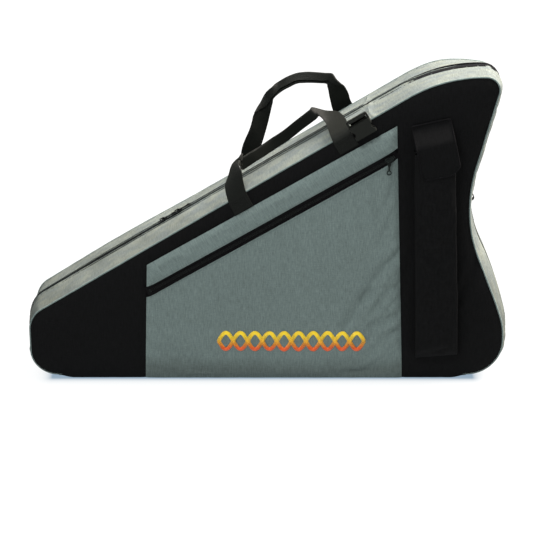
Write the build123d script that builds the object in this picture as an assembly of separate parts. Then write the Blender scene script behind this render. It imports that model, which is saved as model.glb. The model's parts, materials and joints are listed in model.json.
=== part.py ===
from build123d import *
import math
import os

# Padded carrying bag for a small lap harp: a harp-shaped tray and a matching lid that are
# joined along the bottom front seam and closed by a zipper round the other sides.
# Frame: +X along the bag towards its tall end, +Z up, the front panel faces -Y.
# Origin: middle of the flat underside. Millimetres.

# ---------------------------------------------------------------- driving dimensions
BAG_DEPTH = 144.0        # between the front and back seam lines
SEAM_HEIGHT = 8.0        # bottom seam line above the floor
FOAM = 12.0              # padding
CLOTH = 2.0              # outer fabric with its backing
LINING = 1.0
GUSSET_GAP = 1.0         # half of the parting between lid and tray at the zipper
WEBBING = 38.0           # webbing width
WEBBING_THICK = 2.5

# Seam line of the front panel: corner (x, z) and the radius that rounds it.
SEAM_CORNERS = [
    ((-443.5, 8.0), 50.0),      # nose, bottom
    ((442.0, 8.0), 65.0),       # tall end, bottom
    ((442.0, 102.6), 150.0),    # tall end bulges out here
    ((358.8, 333.5), 295.0),    # waist
    ((426.0, 591.0), 25.0),     # top corner
    ((317.0, 591.0), 262.0),    # slope runs into the top
    ((-443.5, 126.0), 45.0),    # nose, top
]
BOTTOM_RUN = (-393.0, 377.0)    # straight stretch of the bottom seam

HALF = BAG_DEPTH / 2
FOAM_OUT = 6.0                  # padding reaches this far outside the seam line
SKIN_OUT = FOAM_OUT + CLOTH     # outer face of the gusset
FOAM_IN = FOAM_OUT - FOAM
PANEL_FOAM = (HALF - 6.0, HALF + 6.0)
PANEL_SKIN = PANEL_FOAM[1] + CLOTH
LID_EDGE = SEAM_HEIGHT + 6.0    # the lid's lower edge, above the seam it folds on
CHANNEL = 10.0                  # half width of the unpadded strip under the zipper
ZIP_END = 32.0                  # height at which the main zipper stops

# Slope of the bag's upper edge
NOSE_TOP = SEAM_CORNERS[6][0]
SHOULDER = SEAM_CORNERS[5][0]
SLOPE = math.atan2(SHOULDER[1] - NOSE_TOP[1], SHOULDER[0] - NOSE_TOP[0])
SLOPE_Z0 = NOSE_TOP[1] - NOSE_TOP[0] * math.tan(SLOPE)
SLOPE_DEG = math.degrees(SLOPE)

# Music pocket on the front
POCKET_TOP_LEFT = (-221.3, 232.0)
POCKET_TOP_RIGHT = (235.4, 502.0)
POCKET_FOOT_LEFT = (-228.0, LID_EDGE)
POCKET_FOOT_RIGHT = (255.4, LID_EDGE)
POCKET_ROOM = 5.0               # thickness of the space inside
POCKET_CLOTH = 1.5
STRIP_DROP = 42.0               # height of the cloth strip above the pocket zipper
TAPE_DROP = 21.0                # height of the zipper opening, measured vertically
POCKET_FACE = PANEL_SKIN + POCKET_ROOM + POCKET_CLOTH

# Zippers: half widths and thicknesses
MAIN_COIL = (GUSSET_GAP, 5.0)
MAIN_COIL_RISE = (6.5, 9.0)
MAIN_TAPE_END = 9.0
POCKET_COIL = (0.9, 3.2)

# Accessory pocket and its flap
BOX_POCKET = [(267.0, 455.0), (339.0, 455.0), (357.0, 53.0), (280.0, 47.0)]
BOX_POCKET_ROOM = 20.0
FLAP_HINGE = (296.6, 507.7)
FLAP_LEAN = 12.5
FLAP_WIDTH = 70.0
FLAP_LENGTH = 96.0
FLAP_THICK = 2.5
FLAP_STEP = 36.0                # the flap reaches the pocket's face this far down

# Handles: outlines in the handle's own plane, u along the slope, w away from the pivot
FRONT_PIVOT = (-82.0, 9.0)      # y, and height above the slope's seam line
REAR_PIVOT = (82.0, 6.0)
FRONT_REST_DEG = 16.7           # the front handle lies back over the gusset
FRONT_HANDLE_OUTER = [(-81, 2), (-60, 52), (-34, 98), (-8, 112), (60, 116),
                      (118, 112), (152, 92), (176, 50), (180, 2)]
FRONT_HANDLE_INNER = [(143, 2), (142, 40), (126, 78), (108, 92), (60, 97),
                      (6, 93), (-12, 80), (-26, 45), (-43, 2)]
REAR_HANDLE_OUTER = [(-52, 3), (-34, 22), (2, 62), (14, 70), (49, 84), (73, 99),
                     (119, 99), (150, 88), (185, 64), (191, 28), (187, 3)]
REAR_HANDLE_INNER = [(149, 3), (152, 10), (167, 49), (140, 72), (118, 81),
                     (70, 80), (36, 46), (-5, 10), (-10, 3)]
HANDLE_THICK = 4.0
FRONT_LEGS_U = (-62.0, 161.5)   # middle of each leg where it is sewn down
REAR_LEGS_U = (-31.0, 168.0)

# Buckle half on the front, beside the front handle
BUCKLE_U = 201.5
BUCKLE_WIDTH = 42.0
BUCKLE_LENGTH = 37.0
BUCKLE_THICK = 11.0
BUCKLE_TOP = 21.0               # height of its webbing bar above the slope's seam line
BUCKLE_BACK = 84.5              # distance of its back face in front of the bag's mid plane

CROSS_SEAM_U = 222.0            # cross seam of the gusset, beside the buckle

# Slider places on the zippers
MAIN_SLIDERS_U = (-221.0, -188.0)
POCKET_SLIDER_X = 222.0


# ---------------------------------------------------------------- helpers
def outline(grow=0.0):
    """Seam outline as a face in the XZ plane, grown outwards by a distance."""
    points = [corner for corner, radius in SEAM_CORNERS]
    radii = [radius for corner, radius in SEAM_CORNERS]
    wire = Wire(FilletPolyline(*points, radius=radii, close=True).edges())
    face = make_face(wire)
    if grow:
        face = offset(face, amount=grow, kind=Kind.ARC)
    return face


def slab(face, y_low, y_high):
    """Solid from a face drawn in (x, z), between two y values."""
    solid = extrude(face, amount=y_high - y_low)
    # drawn in XY: tip it up so that sketch y becomes z, and thickness runs along +Y
    return Pos(0, y_high, 0) * Rot(90, 0, 0) * solid


def polygon(points):
    return make_face(Polyline(*points, close=True))


def box(x, y, z):
    """Box from three (low, high) pairs."""
    solid = Box(x[1] - x[0], y[1] - y[0], z[1] - z[0])
    return Pos((x[0] + x[1]) / 2, (y[0] + y[1]) / 2, (z[0] + z[1]) / 2) * solid


def ring(outer, inner, y_low, y_high):
    """Band that follows the seam line, from one offset to another."""
    return slab(outline(outer), y_low, y_high) - slab(outline(inner), y_low - 1, y_high + 1)


def without_bottom(solid):
    """Cut away the straight bottom run, which the bottom gusset fills."""
    return solid - box((BOTTOM_RUN[0] - 0.5, BOTTOM_RUN[1] + 0.5), (-200, 200), (-20, 40))


def bottom_only(solid):
    return solid & box(BOTTOM_RUN, (-200, 200), (-20, 40))


def above(solid, height):
    return solid & box((-600, 600), (-300, 300), (height, 800))


def on_slope(u, y, n):
    """Place a piece made at the origin onto the slope: x along it, z away from it."""
    x = u * math.cos(SLOPE) - n * math.sin(SLOPE)
    z = SLOPE_Z0 + u * math.sin(SLOPE) + n * math.cos(SLOPE)
    return Pos(x, y, z) * Rot(0, -SLOPE_DEG, 0)


def mirror_y(solid):
    return mirror(solid, about=Plane.XZ)


def save(solid, name):
    """Write one sub-part; several separate solids go out as one compound."""
    parts = [s for s in solid.solids()]
    for s in parts:
        assert s.is_valid, name
    export_step(parts[0] if len(parts) == 1 else Compound(children=parts), f"parts/{name}.step")


# ---------------------------------------------------------------- shells
def gusset_end_zone(from_u):
    """Space round the top and the tall end, beyond a line square to the slope."""
    beyond = on_slope(from_u, 0, 0) * box((0, 900), (-300, 300), (-900, 900))
    return beyond + box((200, 900), (-300, 300), (-100, 400))


def gusset_skin(upper):
    """Outer cloth of one half of the gusset; a cross seam parts it beside the buckle."""
    band = without_bottom(ring(SKIN_OUT, FOAM_OUT, -HALF, -MAIN_TAPE_END))
    if not upper:
        return band - gusset_end_zone(CROSS_SEAM_U - 0.4)
    return band & gusset_end_zone(CROSS_SEAM_U)


def gusset_foam():
    """Padding of one half of the gusset, with a shallow channel under the zipper."""
    thick = ring(FOAM_OUT, FOAM_IN, -PANEL_FOAM[0], -CHANNEL)
    thin = ring(2.0, FOAM_IN, -CHANNEL, -GUSSET_GAP)
    return without_bottom(thick + thin)


def gusset_lining():
    return without_bottom(ring(FOAM_IN, FOAM_IN - LINING, -PANEL_FOAM[0] + LINING, -GUSSET_GAP))


def piping():
    """Bound seam between the front panel and the gusset."""
    band = ring(5.0, 0.0, -HALF - 5, -HALF)
    return without_bottom(band)


def main_tape():
    return above(ring(7.6, 7.0, -MAIN_TAPE_END + 0.2, -MAIN_COIL[1]), ZIP_END)


def main_coil():
    return above(ring(MAIN_COIL_RISE[1], MAIN_COIL_RISE[0], -MAIN_COIL[1], -MAIN_COIL[0]), ZIP_END)


def panel_layer(near, far, shrink=0.0):
    return slab(outline(-shrink), -far, -near)


def lid_panel(near, far, shrink=0.0):
    return above(panel_layer(near, far, shrink), LID_EDGE)


def pocket_line(drop):
    """Two ends of a line across the music pocket, a drop below its top seam."""
    def edge(top, foot, fall):
        share = fall / (top[1] - foot[1])
        return (top[0] + share * (foot[0] - top[0]), top[1] - fall)
    return (edge(POCKET_TOP_LEFT, POCKET_FOOT_LEFT, drop), edge(POCKET_TOP_RIGHT, POCKET_FOOT_RIGHT, drop))


def pocket_region():
    return [POCKET_FOOT_LEFT, POCKET_FOOT_RIGHT, POCKET_TOP_RIGHT, POCKET_TOP_LEFT]


def front_regions():
    """The three black panels of the front: nose, band above the pocket, and tall end."""
    skin = lid_panel(PANEL_FOAM[1], PANEL_SKIN)
    left_x = POCKET_TOP_LEFT[0]
    right_x = POCKET_TOP_RIGHT[0]
    nose = polygon([(-700, -50), POCKET_FOOT_LEFT, POCKET_TOP_LEFT, (left_x, 700), (-700, 700)])
    lean = (POCKET_FOOT_RIGHT[0] - right_x) / (POCKET_TOP_RIGHT[1] - POCKET_FOOT_RIGHT[1])
    tall_end = polygon([(POCKET_FOOT_RIGHT[0] + 60 * lean, POCKET_FOOT_RIGHT[1] - 60), (700, -50),
                        (700, 700), (right_x, 700), POCKET_TOP_RIGHT])
    band = polygon([POCKET_TOP_LEFT, POCKET_TOP_RIGHT, (right_x, 700), (left_x, 700)])
    cut = (-PANEL_SKIN - 5, -PANEL_FOAM[1] + 5)
    return (skin & slab(nose, *cut), skin & slab(band, *cut), skin & slab(tall_end, *cut))


def pocket_panels():
    """Music pocket: the strip above its zipper and the large panel below, with closed edges."""
    rim = 5.0
    inside = (-POCKET_FACE + POCKET_CLOTH, -PANEL_SKIN)
    whole = slab(polygon(pocket_region()), -POCKET_FACE, -PANEL_SKIN)
    left_foot, right_foot = POCKET_FOOT_LEFT, POCKET_FOOT_RIGHT
    top_left, top_right = POCKET_TOP_LEFT, POCKET_TOP_RIGHT
    room = polygon([(left_foot[0] + rim, left_foot[1] + rim), (right_foot[0] - rim, right_foot[1] + rim),
                    (top_right[0] - rim, top_right[1] - 2 * rim), (top_left[0] + rim, top_left[1] - rim)])
    hollow = whole - slab(room, inside[0], inside[1] + 1)
    strip_low = pocket_line(STRIP_DROP)
    panel_top = pocket_line(STRIP_DROP + TAPE_DROP)
    strip = polygon([strip_low[0], strip_low[1], (top_right[0] + 20, top_right[1] + 60),
                     (top_left[0] - 20, top_left[1] + 60)])
    lower = polygon([(left_foot[0] - 20, 0), (right_foot[0] + 20, 0), panel_top[1], panel_top[0]])
    cut = (-POCKET_FACE - 1, -PANEL_SKIN + 1)
    return hollow & slab(strip, *cut), hollow & slab(lower, *cut)


def pocket_zip_frame():
    """Place on the pocket zipper: local x along it, z out of the front."""
    left, right = pocket_line(STRIP_DROP + TAPE_DROP / 2)
    angle = math.degrees(math.atan2(right[1] - left[1], right[0] - left[0]))
    return left, right, angle


def pocket_zip_piece(x_from, x_to, low, high, y_near, y_far):
    """Strip along the pocket zipper between two distances from its middle line."""
    left, right, angle = pocket_zip_frame()
    length = math.dist(left, right)
    piece = box((x_from, length - x_to), (-y_far, -y_near), (low, high))
    return Pos(left[0], 0, left[1]) * Rot(0, -angle, 0) * piece


def pocket_zip_parts():
    half_tape = TAPE_DROP / 2 * math.cos(math.radians(pocket_zip_frame()[2])) - 0.2
    tape_y = (POCKET_FACE - 1.1, POCKET_FACE - 0.5)
    coil_y = (POCKET_FACE - 1.5, POCKET_FACE + 0.5)
    tape = pocket_zip_piece(8, 8, POCKET_COIL[1], half_tape, *tape_y)
    tape += pocket_zip_piece(8, 8, -half_tape, -POCKET_COIL[1], *tape_y)
    coil = pocket_zip_piece(10, 10, POCKET_COIL[0], POCKET_COIL[1], *coil_y)
    coil += pocket_zip_piece(10, 10, -POCKET_COIL[1], -POCKET_COIL[0], *coil_y)
    left, right, angle = pocket_zip_frame()
    length = math.dist(left, right)
    stops = pocket_zip_piece(7, length - 9.8, -3, 3, *coil_y) + pocket_zip_piece(length - 9.8, 7, -3, 3, *coil_y)
    return tape, coil, stops


# ---------------------------------------------------------------- zipper sliders and pulls
PLATE = 1.6
BAIL_HEIGHT = 4.8
BAIL_SPAN = 4.7
PIVOT_RISE = 1.6


def slider(length, width, top, under, bail_turn=0.0):
    """Zipper slider: two plates, a thin divider and a bail. x along the zipper, z outwards."""
    plate = extrude(RectangleRounded(length, width, width * 0.32), amount=PLATE)
    divider = box((length / 2 - 4.5, length / 2 - 1), (-0.55, 0.55), (under, top + 0.5))
    bail = box((-BAIL_SPAN, BAIL_SPAN), (-1, 1), (top + PLATE - 0.2, top + PLATE + BAIL_HEIGHT))
    bail -= box((-BAIL_SPAN + 1.4, BAIL_SPAN - 1.4), (-2, 2), (top + PLATE - 1, top + PLATE + BAIL_HEIGHT - 1.4))
    bail = fillet(bail.edges().filter_by(Axis.Y).group_by(Axis.Z)[-1], 1.2)
    return Pos(0, 0, top) * plate + Pos(0, 0, under - PLATE) * plate + divider + Rot(0, 0, bail_turn) * bail


def pull():
    """Flat pull tab with a ring end; its eye bar is at the origin, the tab lies along +x."""
    thick = 1.4
    eye = box((-0.8, 8.5), (-3.6, 3.6), (-thick / 2, thick / 2)) - box((0.8, 6.8), (-2.4, 2.4), (-2, 2))
    tab = loft([Plane(origin=(8, 0, 0), x_dir=(0, 1, 0), z_dir=(1, 0, 0)) * Rectangle(7.2, thick),
                Plane(origin=(13, 0, 0), x_dir=(0, 1, 0), z_dir=(1, 0, 0)) * Rectangle(3.0, thick)])
    neck = box((12.9, 20), (-1.5, 1.5), (-thick / 2, thick / 2))
    disc = Pos(23.5, 0, -thick / 2) * extrude(Circle(4.6) - Circle(2.8), amount=thick)
    neck -= Pos(23.5, 0, -2) * extrude(Circle(2.8), amount=4)
    return eye + tab + neck + disc


# ---------------------------------------------------------------- webbing
def handle(outer, inner):
    """Flat loop drawn in (u, w) and given the webbing's thickness about its own plane."""
    return Pos(0, HANDLE_THICK / 2, 0) * Rot(90, 0, 0) * extrude(polygon(outer + inner), amount=HANDLE_THICK)


def sewn_leg(u, top, foot, near, lean=0.0):
    """Leg of a handle where it is stitched flat on a panel; near is its inner face."""
    strip = box((-WEBBING / 2, WEBBING / 2), (near, near + WEBBING_THICK), (foot, top))
    return on_slope(u, 0, 0) * Rot(0, lean, 0) * strip


def buckle():
    """Socket half of a side-release buckle: webbing bar at the top, side windows, open mouth."""
    w, t, length = BUCKLE_WIDTH / 2, BUCKLE_THICK, BUCKLE_LENGTH
    shell = box((-w, w), (-t, 0), (-length, -9))
    shell = fillet(shell.edges().filter_by(Axis.Z), 3.5)
    frame = box((-w, w), (-t + 3, -2), (-10, 3))
    frame = fillet(frame.edges().filter_by(Axis.Y).group_by(Axis.Z)[-1], 3)
    frame -= box((-w + 3.5, w - 3.5), (-20, 5), (-7.5, -1.2))
    body = shell + frame
    body -= box((-w + 4.5, w - 4.5), (-t + 2.2, -2.2), (-length - 1, -14))
    for side in (-1, 1):
        body -= Pos(side * w, -t / 2, -24.5) * Box(9, t - 3.6, 15)
        body -= Pos(side * (w + 1.5), -t / 2, -24.5) * Rot(90, 0, 0) * Cylinder(6.0, 30)
    return body


def ornament():
    """Two-strand plait of satin stitch, standing slightly off the pocket."""
    centre, span, swing, strand, waves = (46.5, 80.0), 272.0, 16.0, 7.5, 5
    steps = 24 * waves

    def strand_face(phase):
        def point(i, side):
            t = i / steps
            angle = 2 * math.pi * waves * t + phase
            slope = swing * 2 * math.pi * waves / span * math.cos(angle)
            norm = math.hypot(1, slope)
            x = centre[0] - span / 2 + span * t - side * strand / 2 * slope / norm
            return (x, centre[1] + swing * math.sin(angle) + side * strand / 2 / norm)
        upper = [point(i, 1) for i in range(steps + 1)]
        lower = [point(i, -1) for i in range(steps, -1, -1)]
        return polygon(upper + lower)

    return slab(strand_face(0) + strand_face(math.pi), -POCKET_FACE - 0.8, -POCKET_FACE)


# ---------------------------------------------------------------- accessory pocket
def accessory_pocket():
    face = polygon(BOX_POCKET)
    depth = BOX_POCKET_ROOM + CLOTH
    outer = slab(face, -PANEL_SKIN - depth, -PANEL_SKIN)
    (x0, z0), (x1, z1), (x2, z2), (x3, z3) = BOX_POCKET
    room = polygon([(x0 + CLOTH, z0 + 20), (x1 - CLOTH, z1 + 20), (x2 - CLOTH, z2 + CLOTH), (x3 + CLOTH, z3 + CLOTH)])
    return outer - slab(room, -PANEL_SKIN - BOX_POCKET_ROOM, -PANEL_SKIN + 1)


def flap_place():
    return Pos(FLAP_HINGE[0], -PANEL_SKIN - 3, FLAP_HINGE[1]) * Rot(0, -FLAP_LEAN, 0)


def pocket_flap():
    """Flap that leaves the panel, steps out over the pocket and hangs down its face."""
    reach = BOX_POCKET_ROOM + CLOTH + 2.5 - 3
    profile = Plane.YZ * make_face(Polyline((0, 0), (-reach, -FLAP_STEP), (-reach, -FLAP_LENGTH),
                                            (-reach - FLAP_THICK, -FLAP_LENGTH),
                                            (-reach - FLAP_THICK, -FLAP_STEP + 1), (-FLAP_THICK, 1.5), (0, 1.5),
                                            close=True))
    flap = Pos(-FLAP_WIDTH / 2, 0, 0) * extrude(profile, amount=FLAP_WIDTH)
    cut = 13.0
    corner = Pos(FLAP_WIDTH / 2, 0, -FLAP_LENGTH) * Rot(0, 45, 0) * Box(cut * 1.4, 100, cut * 1.4)
    small = Pos(-FLAP_WIDTH / 2, 0, -FLAP_LENGTH) * Rot(0, 45, 0) * Box(7, 100, 7)
    return flap_place() * (flap - corner - small)


def touch_strips():
    """Hook strip on the flap's back and the loop strip it meets on the pocket."""
    reach = BOX_POCKET_ROOM + CLOTH + 2.5 - 3
    hook = flap_place() * box((-22, 22), (-reach, -reach + 1.0), (-84, -64))
    loop = flap_place() * box((-22, 22), (-reach + 1.3, -reach + 2.5), (-84, -64))
    return hook, loop


def side_tab():
    """Short folded webbing loop beside the zipper at the waist."""
    loop = box((381.8, 392.4), (9.5, 20.0), (326.0, 340.0))
    return loop - box((384.4, 389.9), (9.0, 21.0), (329.5, 336.5))


def main():
    os.makedirs("parts", exist_ok=True)

    # tray
    save(mirror_y(panel_layer(PANEL_FOAM[1], PANEL_SKIN)), "back_panel")
    save(mirror_y(panel_layer(*PANEL_FOAM)), "back_foam")
    save(mirror_y(panel_layer(PANEL_FOAM[0] - LINING, PANEL_FOAM[0], -FOAM_IN)), "back_lining")
    save(mirror_y(gusset_skin(False)), "back_gusset_slope")
    save(mirror_y(gusset_skin(True)), "back_gusset_end")
    save(mirror_y(gusset_foam()), "back_gusset_foam")
    save(mirror_y(gusset_lining()), "back_gusset_lining")
    save(mirror_y(piping()), "back_piping")
    save(mirror_y(main_tape()), "back_zip_tape")
    save(mirror_y(main_coil()), "back_zip_coil")
    save(bottom_only(ring(SKIN_OUT, FOAM_OUT, -HALF + 6.5, HALF)), "bottom_gusset")
    save(bottom_only(ring(FOAM_OUT, FOAM_IN, -PANEL_FOAM[0] + 0.5, PANEL_FOAM[0])), "bottom_foam")
    save(bottom_only(ring(FOAM_IN, FOAM_IN - LINING, -PANEL_FOAM[0] + 1.5, PANEL_FOAM[0] - LINING)), "bottom_lining")
    save(box((BOTTOM_RUN[0], BOTTOM_RUN[1]), (-HALF - 5, -HALF), (3, 8)), "fold_binding")
    legs = [sewn_leg(u, 5.0, -62.0, PANEL_SKIN) for u in REAR_LEGS_U]
    save(legs[0] + legs[1], "rear_handle_ends")
    save(side_tab(), "side_tab")

    # lid
    save(lid_panel(*PANEL_FOAM), "front_foam")
    save(lid_panel(PANEL_FOAM[0] - LINING, PANEL_FOAM[0], -FOAM_IN), "front_lining")
    nose, band, tall_end = front_regions()
    save(nose, "nose_panel")
    save(band, "shoulder_band")
    save(tall_end, "end_panel")
    save(lid_panel(PANEL_FOAM[1], PANEL_SKIN) & slab(polygon(pocket_region()), -PANEL_SKIN - 5, 0), "pocket_backing")
    strip, panel = pocket_panels()
    save(strip, "pocket_strip")
    save(panel, "pocket_panel")
    tape, coil, stops = pocket_zip_parts()
    save(tape, "pocket_zip_tape")
    save(coil, "pocket_zip_coil")
    save(stops, "pocket_zip_stops")
    save(ornament(), "ornament")
    save(gusset_skin(False), "front_gusset_slope")
    save(gusset_skin(True), "front_gusset_end")
    save(gusset_foam(), "front_gusset_foam")
    save(gusset_lining(), "front_gusset_lining")
    save(piping(), "front_piping")
    save(main_tape(), "front_zip_tape")
    save(main_coil(), "front_zip_coil")
    legs = [sewn_leg(u, 4.0, -24.0, -PANEL_SKIN - WEBBING_THICK) for u in FRONT_LEGS_U]
    save(legs[0] + legs[1], "front_handle_ends")
    save(accessory_pocket(), "accessory_pocket")
    hook, loop = touch_strips()
    save(loop, "loop_strip")
    tab_place = on_slope(BUCKLE_U, 0, 0)
    tab = tab_place * box((-16, 16), (-PANEL_SKIN - 2.5, -PANEL_SKIN), (-8, BUCKLE_TOP - 3.6))
    save(tab, "buckle_tab")

    # moving pieces
    save(on_slope(0, FRONT_PIVOT[0], FRONT_PIVOT[1]) * Rot(-90 + FRONT_REST_DEG, 0, 0)
         * handle(FRONT_HANDLE_OUTER, FRONT_HANDLE_INNER), "front_handle")
    save(on_slope(0, REAR_PIVOT[0], REAR_PIVOT[1]) * handle(REAR_HANDLE_OUTER, REAR_HANDLE_INNER), "rear_handle")
    save(pocket_flap(), "pocket_flap")
    save(hook, "hook_strip")
    save(on_slope(BUCKLE_U, -BUCKLE_BACK, BUCKLE_TOP) * buckle(), "buckle")

    main_top = MAIN_COIL_RISE[1] + 0.5
    for u, side in zip(MAIN_SLIDERS_U, ("lower", "upper")):
        flip = 0 if side == "lower" else 180
        body = Rot(0, 0, flip) * slider(19.0, 14.0, main_top, MAIN_COIL_RISE[0] - 1.0)
        save(on_slope(u, 0, 0) * body, f"{side}_slider")
        save(on_slope(u, 0, main_top + PLATE + PIVOT_RISE) * pull(), f"{side}_pull")

    left, right, angle = pocket_zip_frame()
    z = left[1] + (POCKET_SLIDER_X - left[0]) * math.tan(math.radians(angle))
    face = POCKET_FACE + 0.5 + 0.4
    place = Pos(POCKET_SLIDER_X, 0, z) * Rot(90, 0, 0)
    body = Rot(0, 0, angle) * slider(15.0, 10.5, face, POCKET_FACE - 1.9, -90 - angle)
    save(place * body, "pocket_slider")
    save(place * Pos(0, 0, face + PLATE + PIVOT_RISE) * Rot(0, 0, -90) * pull(), "pocket_pull")


main()
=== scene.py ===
import json
import math

import bmesh
import bpy
import numpy as np
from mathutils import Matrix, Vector, noise
from mathutils.bvhtree import BVHTree
from mathutils.geometry import delaunay_2d_cdt


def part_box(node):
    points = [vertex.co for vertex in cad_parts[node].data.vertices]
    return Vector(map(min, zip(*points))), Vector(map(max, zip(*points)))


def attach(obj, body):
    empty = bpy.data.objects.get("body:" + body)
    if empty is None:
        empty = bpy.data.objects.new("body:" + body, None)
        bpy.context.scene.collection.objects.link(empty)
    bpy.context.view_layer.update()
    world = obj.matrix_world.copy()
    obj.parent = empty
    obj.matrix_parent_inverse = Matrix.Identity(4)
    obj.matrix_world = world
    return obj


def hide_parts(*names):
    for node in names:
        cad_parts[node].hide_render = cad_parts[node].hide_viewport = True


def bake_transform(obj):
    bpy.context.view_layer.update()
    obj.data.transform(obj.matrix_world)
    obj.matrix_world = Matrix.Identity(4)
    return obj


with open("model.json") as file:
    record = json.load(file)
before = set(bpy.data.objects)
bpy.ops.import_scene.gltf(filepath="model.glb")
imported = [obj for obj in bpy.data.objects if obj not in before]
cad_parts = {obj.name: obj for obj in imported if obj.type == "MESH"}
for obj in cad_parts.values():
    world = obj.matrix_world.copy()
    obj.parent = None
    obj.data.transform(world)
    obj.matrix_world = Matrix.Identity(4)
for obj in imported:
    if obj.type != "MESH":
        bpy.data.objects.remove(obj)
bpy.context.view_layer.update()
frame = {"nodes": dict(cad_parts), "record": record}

# Padded bag for a lap harp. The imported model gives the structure, the sliders, the pulls and the
# buckle; every soft piece is made here, in the same frame, in metres.

MM = 0.001

# ---- sizes shared with the CAD part
SEAM_Y = 72 * MM                 # seam planes, in front of and behind the zipper's plane
PANEL_Y = 80 * MM                # face of the black panels
LINING_Y = 65 * MM
POCKET_Y = 86.5 * MM             # face of the music pocket
SEAM_CORNERS = [                 # seam line of the front panel: (x, z) and rounding radius
    ((-443.5, 8.0), 50.0),
    ((442.0, 8.0), 65.0),
    ((442.0, 102.6), 150.0),
    ((358.8, 333.5), 295.0),
    ((426.0, 591.0), 25.0),
    ((317.0, 591.0), 262.0),
    ((-443.5, 126.0), 45.0),
]
RUN_LEFT, RUN_RIGHT = -393 * MM, 377 * MM     # straight stretch of the bottom seam
SLOPE = math.atan2(591.0 - 126.0, 317.0 + 443.5)
SLOPE_Z0 = (126.0 + 443.5 * math.tan(SLOPE)) * MM
CROSS_SEAM_U = 222 * MM
POCKET_TOP = ((-221.3 * MM, 232.0 * MM), (235.4 * MM, 502.0 * MM))
POCKET_FOOT = ((-228.0 * MM, 10.0 * MM), (255.4 * MM, 10.0 * MM))
STRIP_DROP, TAPE_DROP = 42 * MM, 21 * MM
WEBBING = 38 * MM                # width of the handles' webbing
FLAP_HINGE = (296.6 * MM, 507.7 * MM)
FLAP_LEAN = math.radians(12.5)


HALVES = (("lid", -1, "front"), ("tray", 1, "back"))     # body, side of the zipper's plane, name


def unit(rows):
    """Vectors, each made one long."""
    return rows / np.maximum(np.linalg.norm(rows, axis=-1, keepdims=True), 1e-12)


def run_along(path):
    """Distance run at each point of a path."""
    return np.concatenate([[0], np.cumsum(np.linalg.norm(np.diff(path, axis=0), axis=1))])


def columns(*parts):
    """Points from their coordinates; one value serves for all of them."""
    return np.stack(np.broadcast_arrays(*parts), axis=-1)


def pairs(first, second):
    """Every value of one list with every value of the other, as two flat lists."""
    return (a.ravel() for a in np.meshgrid(first, second, indexing="ij"))


def bell(value, width):
    return np.exp(-((value / width) ** 2))


def joined(parts):
    """Several (verts, faces, ...) as one."""
    faces, count = [], 0
    for verts, part_faces, *_ in parts:
        faces += [[v + count for v in face] for face in part_faces]
        count += len(verts)
    return np.concatenate([part[0] for part in parts]), faces


def placed(name, data):
    """Object in the scene."""
    obj = bpy.data.objects.new(name, data)
    bpy.context.scene.collection.objects.link(obj)
    return obj


def on_slope(u, y, n):
    """Point at u along the slope, n away from its seam line; y stays y."""
    return Vector((u * math.cos(SLOPE) - n * math.sin(SLOPE), y,
                   SLOPE_Z0 + u * math.sin(SLOPE) + n * math.cos(SLOPE)))


# ---- materials
class Shader:
    """Node material whose constant values sit on the Principled node's own sockets."""

    def __init__(self, name, color, roughness, **values):
        self.material = bpy.data.materials.new(name)
        self.material.use_nodes = True
        self.tree = self.material.node_tree
        self.skin = self.tree.nodes["Principled BSDF"]
        self.skin.inputs["Base Color"].default_value = (*color, 1)
        self.skin.inputs["Roughness"].default_value = roughness
        for key, value in values.items():
            self.skin.inputs[key.replace("_", " ")].default_value = value

    def add(self, kind, settings=None, **links):
        node = self.tree.nodes.new("ShaderNode" + kind)
        for key, value in (settings or {}).items():
            setattr(node, key, value)
        for key, value in links.items():
            numbered = key[0] == "i" and key[1:].isdigit()
            socket = node.inputs[int(key[1:]) if numbered else key.replace("_", " ")]
            if isinstance(value, bpy.types.NodeSocket):
                self.tree.links.new(value, socket)
            else:
                socket.default_value = value
        return node

    def math(self, operation, a, b=0.0):
        return self.add("Math", {"operation": operation}, i0=a, i1=b).outputs[0]

    def mul(self, a, b):
        return self.math("MULTIPLY", a, b)

    def plus(self, a, b):
        return self.math("ADD", a, b)

    def place(self):
        return self.add("TexCoord").outputs["Object"]

    def uv(self):
        """u and v of the piece's own map, in metres along and across its cloth."""
        split = self.add("SeparateXYZ", i0=self.add("UVMap", {"uv_map": "cloth"}).outputs[0])
        return split.outputs[0], split.outputs[1]

    def vector(self, x, y, z=0.0):
        return self.add("CombineXYZ", i0=x, i1=y, i2=z).outputs[0]

    def noise(self, vector, scale, detail=2.0, roughness=0.5):
        node = self.add("TexNoise", Vector=vector, Scale=scale, Detail=detail, Roughness=roughness)
        return node.outputs["Fac"]

    def streaks(self, long, wide, seed=0.0, detail=2.0, roughness=0.7):
        """Noise that follows the cloth, in patches of the given size."""
        u, v = self.uv()
        spot = self.vector(self.math("DIVIDE", u, long), self.math("DIVIDE", v, wide), seed)
        return self.noise(spot, 1.0, detail, roughness)

    def ramp(self, value, low, high, color_low, color_high):
        node = self.add("ValToRGB", i0=value)
        first, last = node.color_ramp.elements
        first.position, last.position = low, high
        first.color = (*color_low, 1)
        last.color = (*color_high, 1)
        return node.outputs[0]

    def times(self, color, other):
        """Product of two colours."""
        kind = {"data_type": "RGBA", "blend_type": "MULTIPLY"}
        return self.add("Mix", kind, i0=1.0, i6=color, i7=other).outputs[2]

    def paint(self, socket, value):
        self.tree.links.new(value, self.skin.inputs[socket])

    def bump(self, height, distance, strength=1.0, under=None):
        links = {"Height": height, "Distance": distance, "Strength": strength}
        if under is not None:
            links["Normal"] = under
        return self.add("Bump", **links).outputs[0]


def tint(color, gain):
    return tuple(min(1.0, c * gain) for c in color)


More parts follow.
